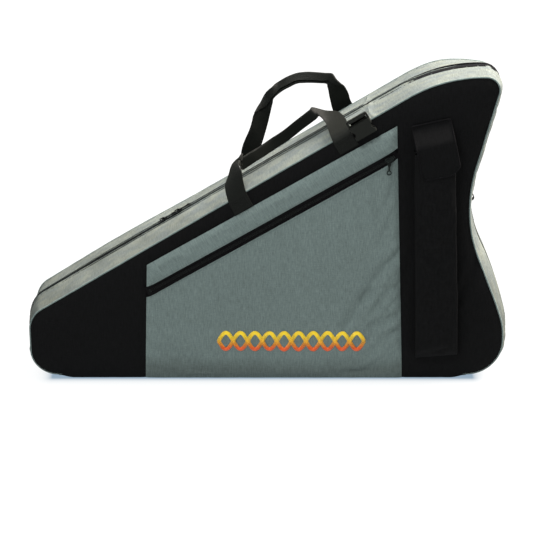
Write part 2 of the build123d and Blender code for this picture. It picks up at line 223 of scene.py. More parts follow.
def woven(name, color, yarn=0.75 * MM, mottle=0.16, roughness=0.8, relief=0.16 * MM, gloss=0.1,
          blotch=None, painted_foot_shade=None):
    """Plain-weave polyester: crossing yarns, and heather streaks that follow the lengthwise yarn.
    blotch is the colour gain of pale patches. The last argument is painted shade: the colour gain at
    the bag's foot, and the heights in mm between which it fades out."""
    s = Shader(name, color, roughness, Specular_IOR_Level=gloss)
    weave = s.mul(*(s.math("SINE", s.mul(value, math.pi / yarn)) for value in s.uv()))
    place = s.place()
    mix = s.plus(s.mul(s.streaks(2.1 * MM, 16 * MM), 0.42), s.mul(s.streaks(9 * MM, 2.0 * MM, 7.0), 0.23))
    fine = s.streaks(1.1 * MM, 1.1 * MM, 3.0, 1.0, 0.5)
    mix = s.plus(mix, s.plus(s.mul(fine, 0.25), s.mul(s.noise(place, 7.0, 3.0), 0.10)))
    base = s.ramp(mix, 0.38, 0.62, tint(color, 1 - 2 * mottle), tint(color, 1 + 2 * mottle))
    if blotch:
        patches = s.streaks(42 * MM, 17 * MM, 11.0, 3.0, 0.6)
        base = s.times(base, s.ramp(patches, 0.40, 0.66, (1, 1, 1), blotch))
    # painted shade: the colour darkens toward the bag's foot, its upper edge made uneven by noise
    if painted_foot_shade:
        dark, low, high = painted_foot_shade
        uneven = s.mul(s.math("SUBTRACT", s.noise(place, 14.0, 2.0), 0.5), (high - low) * MM)
        rise = s.plus(s.add("SeparateXYZ", i0=place).outputs[2], uneven)
        base = s.times(base, s.ramp(rise, low * MM, high * MM, dark, (1, 1, 1)))
    s.paint("Base Color", base)
    wrinkle = s.bump(s.noise(place, 60.0, 3.0), 0.5 * MM, 0.35)
    s.paint("Normal", s.bump(weave, relief, 0.55, wrinkle))
    return s.material


def ribbed(name, color):
    """Webbing: ribs along its length crossed by fine picks, with a dull olive sheen."""
    s = Shader(name, color, 0.62, Sheen_Weight=0.02, Sheen_Roughness=0.4, Specular_IOR_Level=0.12)
    s.skin.inputs["Sheen Tint"].default_value = (0.85, 0.8, 0.62, 1)
    u, v = s.uv()
    rib = s.math("ABSOLUTE", s.math("SINE", s.mul(v, math.pi / (1.9 * MM))))
    slant = s.plus(s.mul(u, math.pi / (1.1 * MM)),
                   s.mul(s.math("PINGPONG", v, 1.9 * MM), math.pi / (1.5 * MM)))
    pick = s.math("ABSOLUTE", s.math("SINE", slant))
    height = s.plus(s.mul(rib, 0.6), s.mul(pick, 0.4))
    place = s.place()
    # painted shade in the rib valleys and painted highlight on the crests, mixed with random tone
    shade = s.plus(s.mul(height, 0.6), s.mul(s.noise(place, 500.0, 2.0), 0.4))
    s.paint("Base Color", s.ramp(shade, 0.2, 0.9, tint(color, 0.6), tint(color, 1.5)))
    s.paint("Normal", s.bump(height, 0.35 * MM, 0.7, s.bump(s.noise(place, 45.0), 0.6 * MM, 0.3)))
    return s.material


def plastic(name, color, roughness, grain=0.03 * MM, metallic=0.0, gloss=0.5):
    """Moulded or plated small part: fine texture, light handling marks."""
    s = Shader(name, color, roughness, Metallic=metallic, Specular_IOR_Level=gloss)
    place = s.place()
    fine = s.noise(place, 2600.0, 2.0)
    marks = s.noise(place, 160.0, 4.0, 0.7)
    s.paint("Roughness", s.ramp(marks, 0.35, 0.7, (roughness * 0.75,) * 3, (min(1, roughness * 1.35),) * 3))
    s.paint("Base Color", s.ramp(marks, 0.3, 0.75, tint(color, 0.8), tint(color, 1.35)))
    s.paint("Normal", s.bump(fine, grain, 0.5))
    return s.material


def satin_thread(name, low_color, high_color, z_low, z_high):
    """Embroidery thread that turns from one colour at its foot to another at its top."""
    s = Shader(name, high_color, 0.38, Sheen_Weight=0.4, Sheen_Roughness=0.3, Specular_IOR_Level=0.6)
    height = s.add("SeparateXYZ", i0=s.place()).outputs[2]
    part = s.math("DIVIDE", s.math("SUBTRACT", height, z_low), z_high - z_low)
    grain = s.noise(s.place(), 900.0, 2.0)
    part = s.plus(part, s.mul(s.math("SUBTRACT", grain, 0.5), 0.25))
    s.paint("Base Color", s.ramp(part, 0.1, 0.9, low_color, high_color))
    s.paint("Normal", s.bump(grain, 0.1 * MM, 0.5))
    return s.material


GRAY = (0.137, 0.178, 0.170)
BLACK = (0.0041, 0.0043, 0.0045)
MATERIALS = {
    # gray_cloth gets painted shade below about 52 mm, where the pocket's foot turns down
    "gray_cloth": woven("gray_cloth", GRAY, mottle=0.13, painted_foot_shade=((0.72, 0.70, 0.69), 20, 52)),
    # gusset_cloth gets painted shade from about 340 mm down to its foot, where the gusset turns down and
    # away from the key light
    "gusset_cloth": woven("gusset_cloth", (0.127, 0.148, 0.143), mottle=0.13, blotch=(1.30, 1.24, 1.10),
                          painted_foot_shade=((0.43, 0.43, 0.40), 40, 340)),
    "black_cloth": woven("black_cloth", BLACK, mottle=0.22, roughness=0.75, gloss=0.06),
    "lining": woven("lining", (0.016, 0.016, 0.018), yarn=0.5 * MM, mottle=0.1, roughness=0.5, gloss=0.3),
    "webbing": ribbed("webbing", (0.0038, 0.0048, 0.0037)),
    "tape": woven("tape", (0.005, 0.005, 0.0055), yarn=0.6 * MM, mottle=0.2, roughness=0.8, gloss=0.05),
    "coil": plastic("coil", (0.0040, 0.0045, 0.0045), 0.5, gloss=0.08),
    "gunmetal": plastic("gunmetal", (0.014, 0.017, 0.016), 0.36, 0.01 * MM, 1.0),
    "buckle_plastic": plastic("buckle_plastic", (0.0080, 0.0092, 0.0075), 0.5, gloss=0.12),
    "thread": satin_thread("thread", (0.74, 0.10, 0.008), (0.96, 0.70, 0.02), 66 * MM, 94 * MM),
    "hook_loop": woven("hook_loop", (0.008, 0.008, 0.009), yarn=1.1 * MM, mottle=0.3, roughness=0.95,
                       relief=0.4 * MM),
    "black_thread": woven("black_thread", (0.010, 0.010, 0.011), yarn=0.3 * MM, mottle=0.2, roughness=0.6),
    "gray_thread": woven("gray_thread", (0.09, 0.12, 0.115), yarn=0.3 * MM, mottle=0.2, roughness=0.6),
}


# ---- meshes
def ease(value, low, high):
    """0 below low, 1 above high, and a smooth rise between."""
    t = np.clip((value - low) / (high - low), 0, 1)
    return t * t * (3 - 2 * t)


def slouch(verts):
    """The empty bag slumps behind its zipper: lower at the tall corner, higher near the slope's foot.
    In front it stands out a little at the hip of the tall end."""
    x, y, z = verts.T
    behind = ease(y, -12 * MM, 72 * MM)
    corner = ease(x, 300 * MM, 420 * MM) * ease(z, 430 * MM, 560 * MM)
    swell = bell(x + 290 * MM, 130 * MM) * ease(z, 90 * MM, 150 * MM)
    hip = ease(-y, 35 * MM, 72 * MM) * ease(x, 330 * MM, 425 * MM) * bell(z - 150 * MM, 85 * MM)
    out = verts.copy()
    out[:, 0] += 3.2 * MM * hip
    out[:, 2] += behind * (5.0 * MM * swell - 12.0 * MM * corner)
    out[:, 1] -= 6.0 * MM * behind * corner
    return out


def vertex_normals(verts, faces):
    a, b, c = (verts[faces[:, i]] for i in (0, 1, 2))
    face_normals = np.cross(b - a, c - a)
    normals = np.zeros_like(verts)
    for i in range(faces.shape[1]):
        np.add.at(normals, faces[:, i], face_normals)
    return unit(normals)


def rim_edges(faces):
    """Edges used by one face only, in that face's direction."""
    k = faces.shape[1]
    edges = np.concatenate([faces[:, [i, (i + 1) % k]] for i in range(k)])
    key = np.sort(edges, axis=1)
    index, count = np.unique(key, axis=0, return_index=True, return_counts=True)[1:]
    return edges[index[count == 1]]


def thicken(verts, faces, uv, front, back):
    """Closed sheet: a face moved out along the normals by front, and one moved in by back."""
    normals = vertex_normals(verts, faces)
    n = len(verts)
    both = np.concatenate([verts + normals * front, verts - normals * back])
    rim = rim_edges(faces)
    sides = np.stack([rim[:, 1], rim[:, 0], rim[:, 0] + n, rim[:, 1] + n], axis=1)
    lists = faces.tolist() + (faces[:, ::-1] + n).tolist() + sides.tolist()
    return both, lists, np.concatenate([uv, uv])


SKINS = {}                       # vertices and faces of each piece, to sew on


def piece(name, body, finish, verts, faces, uv=None, nodes=(), smooth=True, blend=None, auto=None):
    """Mesh object with its map, material, body, and the CAD nodes it stands for."""
    verts = slouch(np.asarray(verts, dtype=float))
    mesh = bpy.data.meshes.new(name)
    faces = faces.tolist() if isinstance(faces, np.ndarray) else faces
    mesh.from_pydata([tuple(map(float, v)) for v in verts], [], faces)
    mesh.validate()
    SKINS[name] = (verts, faces)
    if uv is not None:
        layer = mesh.uv_layers.new(name="cloth")
        corner = np.empty(len(mesh.loops), dtype=np.int32)
        mesh.loops.foreach_get("vertex_index", corner)
        layer.data.foreach_set("uv", np.asarray(uv, dtype=np.float32)[corner].ravel())
    mesh.materials.append(MATERIALS[finish])
    obj = placed(name, mesh)
    if smooth:
        mesh.shade_smooth()
        if auto is not None:
            sharpen(mesh, auto)
    if blend:
        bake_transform(obj)
    else:
        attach(obj, body)
    if nodes:
        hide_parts(*nodes)
    return obj


def sharpen(mesh, degrees):
    """Mark edges that turn more than an angle as sharp."""
    bm = bmesh.new()
    bm.from_mesh(mesh)
    limit = math.radians(degrees)
    for edge in bm.edges:
        edge.smooth = len(edge.link_faces) == 2 and edge.calc_face_angle(0) < limit
    bm.to_mesh(mesh)
    bm.free()


def cloth(name, body, finish, verts, faces, uv, thick=1.4 * MM, nodes=(), blend=None):
    """Sheet whose given surface is its outer face. A thin one says how it is held and what it lies on,
    a padded one how full it is."""
    both, both_faces, both_uv = thicken(verts, faces, uv, 0.0, thick)
    obj = piece(name, body, finish, both, both_faces, both_uv, nodes, blend=blend, auto=50)
    return obj


SETTLE_FRAMES, CLOTH_STIFFNESS = 26, 12.0


def settle(verts, faces, sewn, grow, push, limit):
    """Short cloth simulation: a piece cut too large for its seams by the share grow, pushed out by what
    is in it. sewn marks the vertices that stay; none ends further than limit from where it began."""
    scene = bpy.context.scene
    mesh = bpy.data.meshes.new("settling")
    mesh.from_pydata([tuple(map(float, v)) for v in verts], [], faces.tolist())
    obj = placed("settling", mesh)
    obj.vertex_groups.new(name="sewn").add(np.flatnonzero(sewn).tolist(), 1.0, "REPLACE")
    modifier = obj.modifiers.new("cloth", "CLOTH")
    set_cloth(modifier.settings, grow, push)
    modifier.collision_settings.use_collision = False
    modifier.point_cache.frame_start = 1
    modifier.point_cache.frame_end = SETTLE_FRAMES
    for frame_number in range(1, SETTLE_FRAMES + 1):
        scene.frame_set(frame_number)
    done = obj.evaluated_get(bpy.context.evaluated_depsgraph_get()).data
    out = np.empty(len(verts) * 3, dtype=np.float32)
    done.vertices.foreach_get("co", out)
    bpy.data.objects.remove(obj)
    bpy.data.meshes.remove(mesh)
    scene.frame_set(1)
    move = out.reshape(-1, 3) - verts
    size = np.linalg.norm(move, axis=1, keepdims=True)
    return verts + move * (limit * np.tanh(size / limit) / np.maximum(size, 1e-9))


def set_cloth(settings, grow, push):
    settings.vertex_group_mass = "sewn"
    settings.quality = 6
    settings.mass = 0.2
    settings.air_damping = 3.0
    settings.tension_stiffness = CLOTH_STIFFNESS
    settings.compression_stiffness = CLOTH_STIFFNESS
    settings.shear_stiffness = CLOTH_STIFFNESS / 2
    settings.bending_stiffness = 0.6
    settings.shrink_min = -grow
    settings.use_pressure = True
    settings.uniform_pressure_force = push


STITCH, STITCH_PITCH = 2.5 * MM, 3.4 * MM
STITCH_RISE = ((0.0, -0.35), (0.22, 0.2), (0.5, 0.32), (0.78, 0.2), (1.0, -0.35))   # share of it, mm


def skin_tree(name):
    verts, faces = SKINS[name]
    return BVHTree.FromPolygons([Vector(v) for v in verts], faces)


def sew(name, body, finish, path, skin):
    """Row of stitches along a path that runs just outside a piece's face."""
    tree = skin_tree(skin)
    path = slouch(np.asarray(path, dtype=float))
    run = run_along(path)
    stitches = []
    for start in np.arange(STITCH_PITCH / 2, run[-1] - STITCH, STITCH_PITCH):
        points = []
        for share, rise in STITCH_RISE:
            at = start + share * STITCH
            place = Vector([float(np.interp(at, run, path[:, i])) for i in range(3)])
            spot, normal = tree.find_nearest(place)[:2]
            points.append(tuple(spot + normal * rise * MM))
        stitches.append(tube(points, 0.34 * MM, sides=5))
    piece(name, body, finish, *joined(stitches), np.concatenate([stitch[2] for stitch in stitches]))


def grid_faces(rows, columns):
    index = np.arange(rows * columns).reshape(rows, columns)
    return np.stack([index[:-1, :-1], index[:-1, 1:], index[1:, 1:], index[1:, :-1]], axis=-1).reshape(-1, 4)


def ripple(points, size, seed=0.0):
    """Smooth noise at each point, between about -1 and 1, with hills of the given size."""
    offset = Vector((seed * 3.1, seed * 1.7, seed * 5.3))
    return np.array([noise.noise(Vector(p) / size + offset) for p in points])


# ---- the seam outline
def rounded_loop(corners, spacing=0.5 * MM):
    """Dense points round a polygon with rounded corners, counterclockwise, in (x, z) metres."""
    points = []
    count = len(corners)
    for i, (corner, radius) in enumerate(corners):
        here = np.array(corner) * MM
        back = np.array(corners[i - 1][0]) * MM - here
        ahead = np.array(corners[(i + 1) % count][0]) * MM - here
        back, ahead = unit(back), unit(ahead)
        turn = math.pi - math.acos(float(np.clip(back @ ahead, -1, 1)))
        start = here + back * radius * MM * math.tan(turn / 2)
        middle = here + unit(back + ahead) * radius * MM / math.cos(turn / 2)
        side = 1 if back[0] * ahead[1] - back[1] * ahead[0] < 0 else -1
        arm = start - middle
        steps = max(4, int(radius * MM * turn / spacing))
        for k in range(steps + 1):
            a = side * turn * k / steps
            points.append(middle + [arm[0] * math.cos(a) - arm[1] * math.sin(a),
                                    arm[0] * math.sin(a) + arm[1] * math.cos(a)])
    return np.array(points)


class Seam:
    """The seam line by distance run: s = 0 in the middle of the bottom, then up the tall end."""

    def __init__(self):
        loop = rounded_loop(SEAM_CORNERS)
        loop = np.concatenate([loop, loop[:1]])
        run = run_along(loop)
        self.length = run[-1]
        first = np.argmax(loop[:, 0] > 0.3)
        zero = run[first] - loop[first, 0]
        s = np.arange(0, self.length, 0.5 * MM)
        at = (s + zero) % self.length
        self.s = np.append(s, self.length)
        self.point = columns(*(np.interp(at, run, loop[:, i]) for i in (0, 1)))
        self.point = np.concatenate([self.point, self.point[:1]])
        step = np.roll(self.point[:-1], -3, axis=0) - np.roll(self.point[:-1], 3, axis=0)
        step = unit(step)
        normal = columns(step[:, 1], -step[:, 0])
        self.normal = np.concatenate([normal, normal[:1]])

    def at(self, s):
        """Points and outward normals at the given distances."""
        s = np.asarray(s) % self.length
        return (columns(*(np.interp(s, self.s, line[:, i]) for i in (0, 1)))
                for line in (self.point, self.normal))

    def loop(self, grow=0.0, step=5 * MM):
        count = int(self.length / step)
        point, normal = self.at(np.arange(count) * self.length / count)
        return point + normal * grow


SEAM = Seam()
OPEN_START = RUN_RIGHT                      # the gusset runs from here, up the tall end,
OPEN_END = SEAM.length + RUN_LEFT           # down the slope and round the nose, to here


def nearest_s(x, z):
    """Distance run at which the seam passes closest to a point."""
    return SEAM.s[int(np.argmin(np.hypot(SEAM.point[:, 0] - x, SEAM.point[:, 1] - z)))]


CROSS_SEAM_S = nearest_s(on_slope(CROSS_SEAM_U, 0, 0).x, on_slope(CROSS_SEAM_U, 0, 0).z)


# ---- filled regions
def clip(polygon, point, direction):
    """Part of a polygon on one side of a line through point, towards direction."""
    point, direction = np.array(point), np.array(direction)
    kept = []
    for a, b in zip(polygon, np.roll(polygon, -1, axis=0)):
        da, db = (a - point) @ direction, (b - point) @ direction
        if da >= 0:
            kept.append(a)
        if da * db < 0:
            kept.append(a + (b - a) * da / (da - db))
    return np.array(kept)


def refine(polygon, step):
    points = []
    for a, b in zip(polygon, np.roll(polygon, -1, axis=0)):
        count = max(1, int(round(np.linalg.norm(b - a) / step)))
        points += [a + (b - a) * i / count for i in range(count)]
    return np.array(points)


def line_distance(points, path, closed=True):
    """Distance of each point to a polyline."""
    ends = np.roll(path, -1, axis=0) if closed else path[1:]
    starts = path if closed else path[:-1]
    best = np.full(len(points), 1e9)
    for a, b in zip(starts, ends):
        along = b - a
        size = along @ along
        if size < 1e-14:
            continue
        t = np.clip((points - a) @ along / size, 0, 1)
        best = np.minimum(best, np.linalg.norm(points - a - t[:, None] * along, axis=1))
    return best


def inside(points, polygon):
    hit = np.zeros(len(points), dtype=bool)
    for a, b in zip(polygon, np.roll(polygon, -1, axis=0)):
        crosses = (a[1] > points[:, 1]) != (b[1] > points[:, 1])
        if abs(b[1] - a[1]) > 1e-15:
            x = a[0] + (points[:, 1] - a[1]) * (b[0] - a[0]) / (b[1] - a[1])
            hit ^= crosses & (points[:, 0] < x)
    return hit


def fill(polygon, step=5 * MM):
    """Triangles over a polygon: evenly spread points inside, and its border kept exactly."""
    border = refine(polygon, step)
    low, high = border.min(axis=0), border.max(axis=0)
    rows = np.arange(low[1], high[1], step * 0.866)
    spots = np.array([(x + (step / 2 if i % 2 else 0), z) for i, z in enumerate(rows)
                      for x in np.arange(low[0], high[0], step)])
    spots = spots[inside(spots, border)]
    spots = spots[line_distance(spots, border) > step * 0.55]
    points = [Vector(p) for p in np.concatenate([border, spots])]
    face = list(range(len(border)))
    out = delaunay_2d_cdt(points, [], [face], 1, 1e-7)
    return np.array([tuple(p) for p in out[0]]), np.array(out[2])


# ---- front and back panels
PUFF_REACH = 17 * MM             # distance from the seam over which the padding rises
POCKET_EDGES = np.array([POCKET_FOOT[0], POCKET_TOP[0], POCKET_TOP[1], POCKET_FOOT[1]])


def panel_height(points, puff, seed):
    """How far a padded panel stands out of its seam plane."""
    border = SEAM.loop(step=8 * MM)
    gap = line_distance(points, border)
    height = puff * (1 - np.exp(-gap / PUFF_REACH))
    flat = columns(points[:, 0], 0, points[:, 1])
    soft = np.clip(gap / (40 * MM), 0, 1)
    height += soft * (1.1 * MM * ripple(flat, 0.17, seed) + 0.35 * MM * ripple(flat, 0.05, seed + 4))
    pucker = np.exp(-gap / (7 * MM))
    height += pucker * 0.45 * MM * ripple(flat, 0.014, seed + 9)
    return height


POCKET_CREASES = [               # (x, z) along each crease; its depth and half width
    ([(250, 256), (218, 238), (204, 222), (186, 184), (159, 139), (146, 116)], 5.0, 9.0),
    ([(251, 191), (205, 188), (179, 170)], 3.5, 7.5),
    ([(253, 134), (222, 130), (193, 115)], 3.8, 7.5),
    ([(253, 106), (190, 89)], 3.2, 7.0),
    ([(-224, 157), (-168, 137), (-150, 121), (-104, 111)], 3.2, 9.0),
    ([(-226, 77), (-203, 60), (-125, 50)], 2.4, 9.0),
    ([(120, 330), (60, 250), (20, 190)], 0.8, 18.0),
]
END_CREASES = [
    ([(391, 242), (356, 164)], 2.4, 8.0),
    ([(262, 240), (250, 170)], 1.6, 8.0),
    ([(408, 500), (372, 470)], 1.4, 9.0),
]
ACCESSORY_CREASES = [
    ([(268, 328), (299, 291)], 2.2, 7.0),
    ([(280, 284), (325, 225)], 3.2, 8.0),
    ([(342, 390), (345, 353)], 1.8, 6.0),
    ([(283, 55), (334, 71)], 3.0, 6.0),
    ([(335, 66), (344, 47)], 2.0, 5.0),
    ([(290, 190), (330, 120)], 1.6, 9.0),
]


def crease_depth(points, creases):
    """Depth of the creases at each point, with a soft ridge along both sides of each."""
    total = np.zeros(len(points))
    for path, depth, width in creases:
        path = smooth_path(np.array(path) * MM, 10 * len(path))
        gap = line_distance(points, path, closed=False) / (width * MM)
        total += depth * MM * (bell(gap, 1) - 0.45 * bell(gap - 2.1, 1.1))
    return total


def front_height(points, pocket=False):
    """How far the front's cloth stands out of its seam plane: a panel's, or the pocket's over it,
    which is never closer than a cloth's thickness to the panel."""
    height = panel_height(points, PANEL_Y - SEAM_Y, 2.0) - crease_depth(points, END_CREASES)
    gap = line_distance(points, POCKET_EDGES, closed=False)
    height -= 1.5 * MM * bell(gap, 5 * MM)
    if pocket:
        panel = height + 1.3 * MM
        foot = points[:, 1] - POCKET_FOOT[0][1]
        gap = np.minimum(gap, np.maximum(foot, 0))
        height += (POCKET_Y - PANEL_Y) * (1 - np.exp(-gap / (9 * MM))) + 0.8 * MM
        height -= 5.0 * MM * (1 - ease(points[:, 1], 8 * MM, 68 * MM))
        height = np.maximum(height - crease_depth(points, POCKET_CREASES), panel)
    return height


def stand_up(points, distance, side):
    """(x, z) points to 3-D, at a distance from the seam plane; side is -1 in front, 1 behind."""
    return columns(points[:, 0], side * (SEAM_Y + distance), points[:, 1])


def facing(faces, side):
    """Triangles counterclockwise in (x, z) face +Y when tipped up: flip them for the front."""
    return faces if side < 0 else faces[:, ::-1]


def right_of(direction):
    return np.array([direction[1], -direction[0]])


def make_front_panels():
    """The black panels, and the pocket's backing, strip and panel, cut from the front's outline along
    the pocket's seams."""
    left, right, top = (np.subtract(end, start) for start, end in (
        (POCKET_FOOT[0], POCKET_TOP[0]), (POCKET_FOOT[1], POCKET_TOP[1]), POCKET_TOP))
    whole = SEAM.loop(step=5 * MM)
    nose = clip(whole, POCKET_FOOT[0], -right_of(left))
    end = clip(whole, POCKET_FOOT[1], right_of(right))
    middle = clip(clip(whole, POCKET_FOOT[0], right_of(left)), POCKET_FOOT[1], -right_of(right))
    band = clip(middle, POCKET_TOP[0], -right_of(top))
    pocket = clip(middle, POCKET_TOP[0], right_of(top))
    for name, region, nodes in (("nose_cloth", nose, ("nose_panel",)),
                                ("band_cloth", band, ("shoulder_band", "front_foam")),
                                ("end_cloth", end, ("end_panel",))):
        points, faces = fill(region)
        verts = hang(stand_up(points, front_height(points), -1))
        blend = None if name == "band_cloth" else FOLD_BLEND
        cloth(name, "lid", "black_cloth", verts, facing(faces, -1), points, nodes=nodes, blend=blend)
    points, faces = fill(pocket, 9 * MM)
    backing = stand_up(points, front_height(points, pocket=True) - 3.4 * MM, -1)
    cloth("pocket_backing_cloth", "lid", "black_cloth", backing, facing(faces, -1), points,
          nodes=("pocket_backing",))
    strip = clip(pocket, np.subtract(POCKET_TOP[0], [0, STRIP_DROP]), -right_of(top))
    panel = clip(pocket, np.subtract(POCKET_TOP[0], [0, STRIP_DROP + TAPE_DROP]), right_of(top))
    turned = math.atan2(top[1], top[0])
    for name, region, node, angle in (("pocket_strip_cloth", strip, "pocket_strip", turned),
                                      ("pocket_panel_cloth", panel, "pocket_panel", 0.0)):
        points, faces = fill(region, 5 * MM)
        verts = stand_up(points, front_height(points, pocket=True) + fold_lip(points), -1)
        sewn = line_distance(points, refine(region, 5 * MM)) < 7 * MM
        verts = settle(verts, facing(faces, -1), sewn, grow=0.012, push=0.4, limit=2.6 * MM)
        blend = FOLD_BLEND if node == "pocket_panel" else None
        grain = columns(points[:, 0] * math.cos(angle) + points[:, 1] * math.sin(angle),
                        points[:, 1] * math.cos(angle) - points[:, 0] * math.sin(angle))
        cloth(name, "lid", "gray_cloth", hang(verts), facing(faces, -1), grain, nodes=(node,), blend=blend)


def pocket_zip_line(drop):
    """Ends of a line across the pocket, a drop below its top seam."""
    ends = []
    for top, foot in zip(POCKET_TOP, POCKET_FOOT):
        share = drop / (top[1] - foot[1])
        ends.append(np.array([top[0] + share * (foot[0] - top[0]), top[1] - drop]))
    return np.array(ends)


# cloth that reaches below the fold seam: tray, lid, and points 2 mm and 8 mm above the floor; piece() bakes
# such cloth in place and attaches it to no body, and the points are not read
FOLD_BLEND = ("tray", "lid", (0.0, -SEAM_Y, 2.0 * MM), (0.0, -SEAM_Y, 8.0 * MM))


def hang(verts):
    """The front's foot hangs over the fold seam, nearly to the floor."""
    x, z = verts[:, 0], verts[:, 2]
    along = ease(x, RUN_LEFT - 10 * MM, RUN_LEFT + 30 * MM)
    along *= ease(-x, -RUN_RIGHT - 10 * MM, -RUN_RIGHT + 30 * MM)
    low = along * np.exp(-(z - 8 * MM) / (9 * MM))
    out = verts.copy()
    out[:, 1] -= 2.6 * MM * low
    out[:, 2] -= 6.2 * MM * low
    return out


def fold_lip(points):
    """The cloth is folded under beside the zipper, so its edge is a little thicker."""
    lip = np.zeros(len(points))
    for drop in (STRIP_DROP, STRIP_DROP + TAPE_DROP):
        gap = line_distance(points, pocket_zip_line(drop), closed=False)
        lip += 0.7 * MM * np.exp(-((gap / (6 * MM)) ** 4)) - 0.5 * MM * bell(gap - 2.2 * MM, 1.0 * MM)
    return lip


def make_back_panel():
    points, faces = fill(SEAM.loop(step=5 * MM), 6 * MM)
    height = panel_height(points, PANEL_Y - SEAM_Y, 11.0)
    cloth("back_cloth", "tray", "black_cloth", stand_up(points, height, 1), facing(faces, 1), points,
          nodes=("back_panel", "back_foam"))


def make_panel_linings():
    for body, side, nodes in (("lid", -1, ("front_lining",)), ("tray", 1, ("back_lining",))):
        region = SEAM.loop(grow=-7 * MM, step=6 * MM)
        if body == "lid":
            low = (region[:, 1] < 16 * MM) & (region[:, 0] > RUN_LEFT) & (region[:, 0] < RUN_RIGHT)
            region[low, 1] = 9.5 * MM
        points, faces = fill(region, 8 * MM)
        flat = stand_up(points, 0, 1)
        y = LINING_Y + 1.3 * MM * ripple(flat, 0.09, 3.0 + side) + 0.5 * MM * ripple(flat, 0.03, 6.0 + side)
        if body == "lid":
            y += (SEAM_Y - LINING_Y) * (1 - np.clip((points[:, 1] - 9.5 * MM) / (9 * MM), 0, 1)) ** 2
        verts = columns(points[:, 0], side * y, points[:, 1])
        cloth(f"{body}_lining_cloth", body, "lining", verts, facing(faces, -side), points, 1.0 * MM, nodes)


# ---- gusset
ZIP_HALF = 3.9 * MM              # cloth edge beside the main zipper's coil
ZIP_LEVEL = 8.3 * MM             # stand-out of the zipper along the slope, where its sliders run
BULGES = [                       # (x, z) on the seam, and how far the gusset stands out there
    ((377, 8), 5.0), ((440, 60), 11.0), ((436, 110), 17.0), ((422, 150), 19.5), ((400, 215), 18.8),
    ((372, 280), 12.5), ((366, 340), 8.5), ((385, 430), 11.0), ((412, 530), 10.5), ((415, 590), 5.5),
    ((330, 590), 5.5), ((250, 560), 8.0), ((150, 485), 10.8), ((-300, 215), 11.5), ((-410, 145), 9.0),
    ((-443, 105), 5.5), ((-443, 60), 6.5), ((-393, 8), 5.0),
]


def gusset_bulge(s):
    """How far the gusset stands out of the seam line half way across, by distance run."""
    places = [nearest_s(x * MM, z * MM) for (x, z), bulge in BULGES]
    even = np.arange(0, SEAM.length, 5 * MM)
    rough = np.interp(even, places, [bulge * MM for _, bulge in BULGES])
    window = np.hanning(17)
    smooth = np.convolve(np.pad(rough, 8, mode="edge"), window / window.sum(), mode="valid")
    return np.interp(np.asarray(s) % SEAM.length, even, smooth)


def gusset_offset(s, y):
    """Stand-out of the gusset's face at distance run s and depth y: full half way across, flatter and
    squarer near the floor, with a groove at the zipper that is level where the sliders run."""
    t = np.abs(y) / SEAM_Y
    point, normal = SEAM.at(s)
    low = np.clip((45 * MM - point[:, 1]) / (45 * MM), 0, 1)
    power = 2.2 + 3.8 * low
    offset = gusset_bulge(s) * (1 - t ** power) ** (0.72 + 0.28 * low)
    groove = 2.7 * MM * np.clip(point[:, 1] / (40 * MM), 0, 1)
    u = point[:, 0] * math.cos(SLOPE) + (point[:, 1] - SLOPE_Z0) * math.sin(SLOPE)
    straight = ease(u, -530 * MM, -490 * MM) * (1 - ease(u, 285 * MM, 330 * MM)) * (normal[:, 1] > 0.2)
    sliding = gusset_bulge(s) - ZIP_LEVEL
    groove = groove + straight * (sliding - groove)
    return offset - groove * bell(y, 9 * MM)


def strip_surface(s_values, y_values, extra=0.0, seed=0.0, rough=1.0):
    """Grid over part of the gusset: s by y, with the puckers of sewn cloth."""
    s, y = pairs(s_values, y_values)
    point, normal = SEAM.at(s)
    offset = gusset_offset(s, y) + extra
    if rough:
        near_seam = np.exp(-(SEAM_Y - np.abs(y)) / (16 * MM))
        near_zip = np.exp(-np.abs(y) / (13 * MM))
        where = columns(s, y, seed)
        quiet = np.clip(point[:, 1] / (60 * MM), 0.1, 1) * np.clip((SEAM_Y - np.abs(y)) / (5 * MM), 0, 1)
        soft = 1.2 * MM * ripple(where * [1, 0.7, 1], 0.09, seed) + 0.5 * MM * ripple(where, 0.03, seed + 2)
        pucker = (0.8 * MM * near_seam + 0.3 * MM * near_zip) * ripple(where * [1, 0.25, 1], 0.017, seed + 5)
        fade = np.clip(np.abs(y) / (16 * MM), 0.15, 1)
        offset += rough * quiet * (soft * fade + pucker)
    x, z = (point + normal * offset[:, None]).T
    return columns(x, y, z), grid_faces(len(s_values), len(y_values)), columns(s, y)


def steps(start, end, size):
    """Values from start to end, about size apart."""
    return np.linspace(start, end, max(2, int(round(abs(end - start) / size)) + 1))


def across(side, inner, outer, count):
    """Depth values from the zipper's side to the seam, closer together near both edges."""
    t = (1 - np.cos(np.linspace(0, math.pi, count))) / 2
    return side * (inner + (outer - inner) * t)


def outward(faces, side):
    return faces[:, ::-1] if side < 0 else faces


GUSSET_LENGTHS = (("slope", CROSS_SEAM_S, OPEN_END), ("end", OPEN_START, CROSS_SEAM_S))


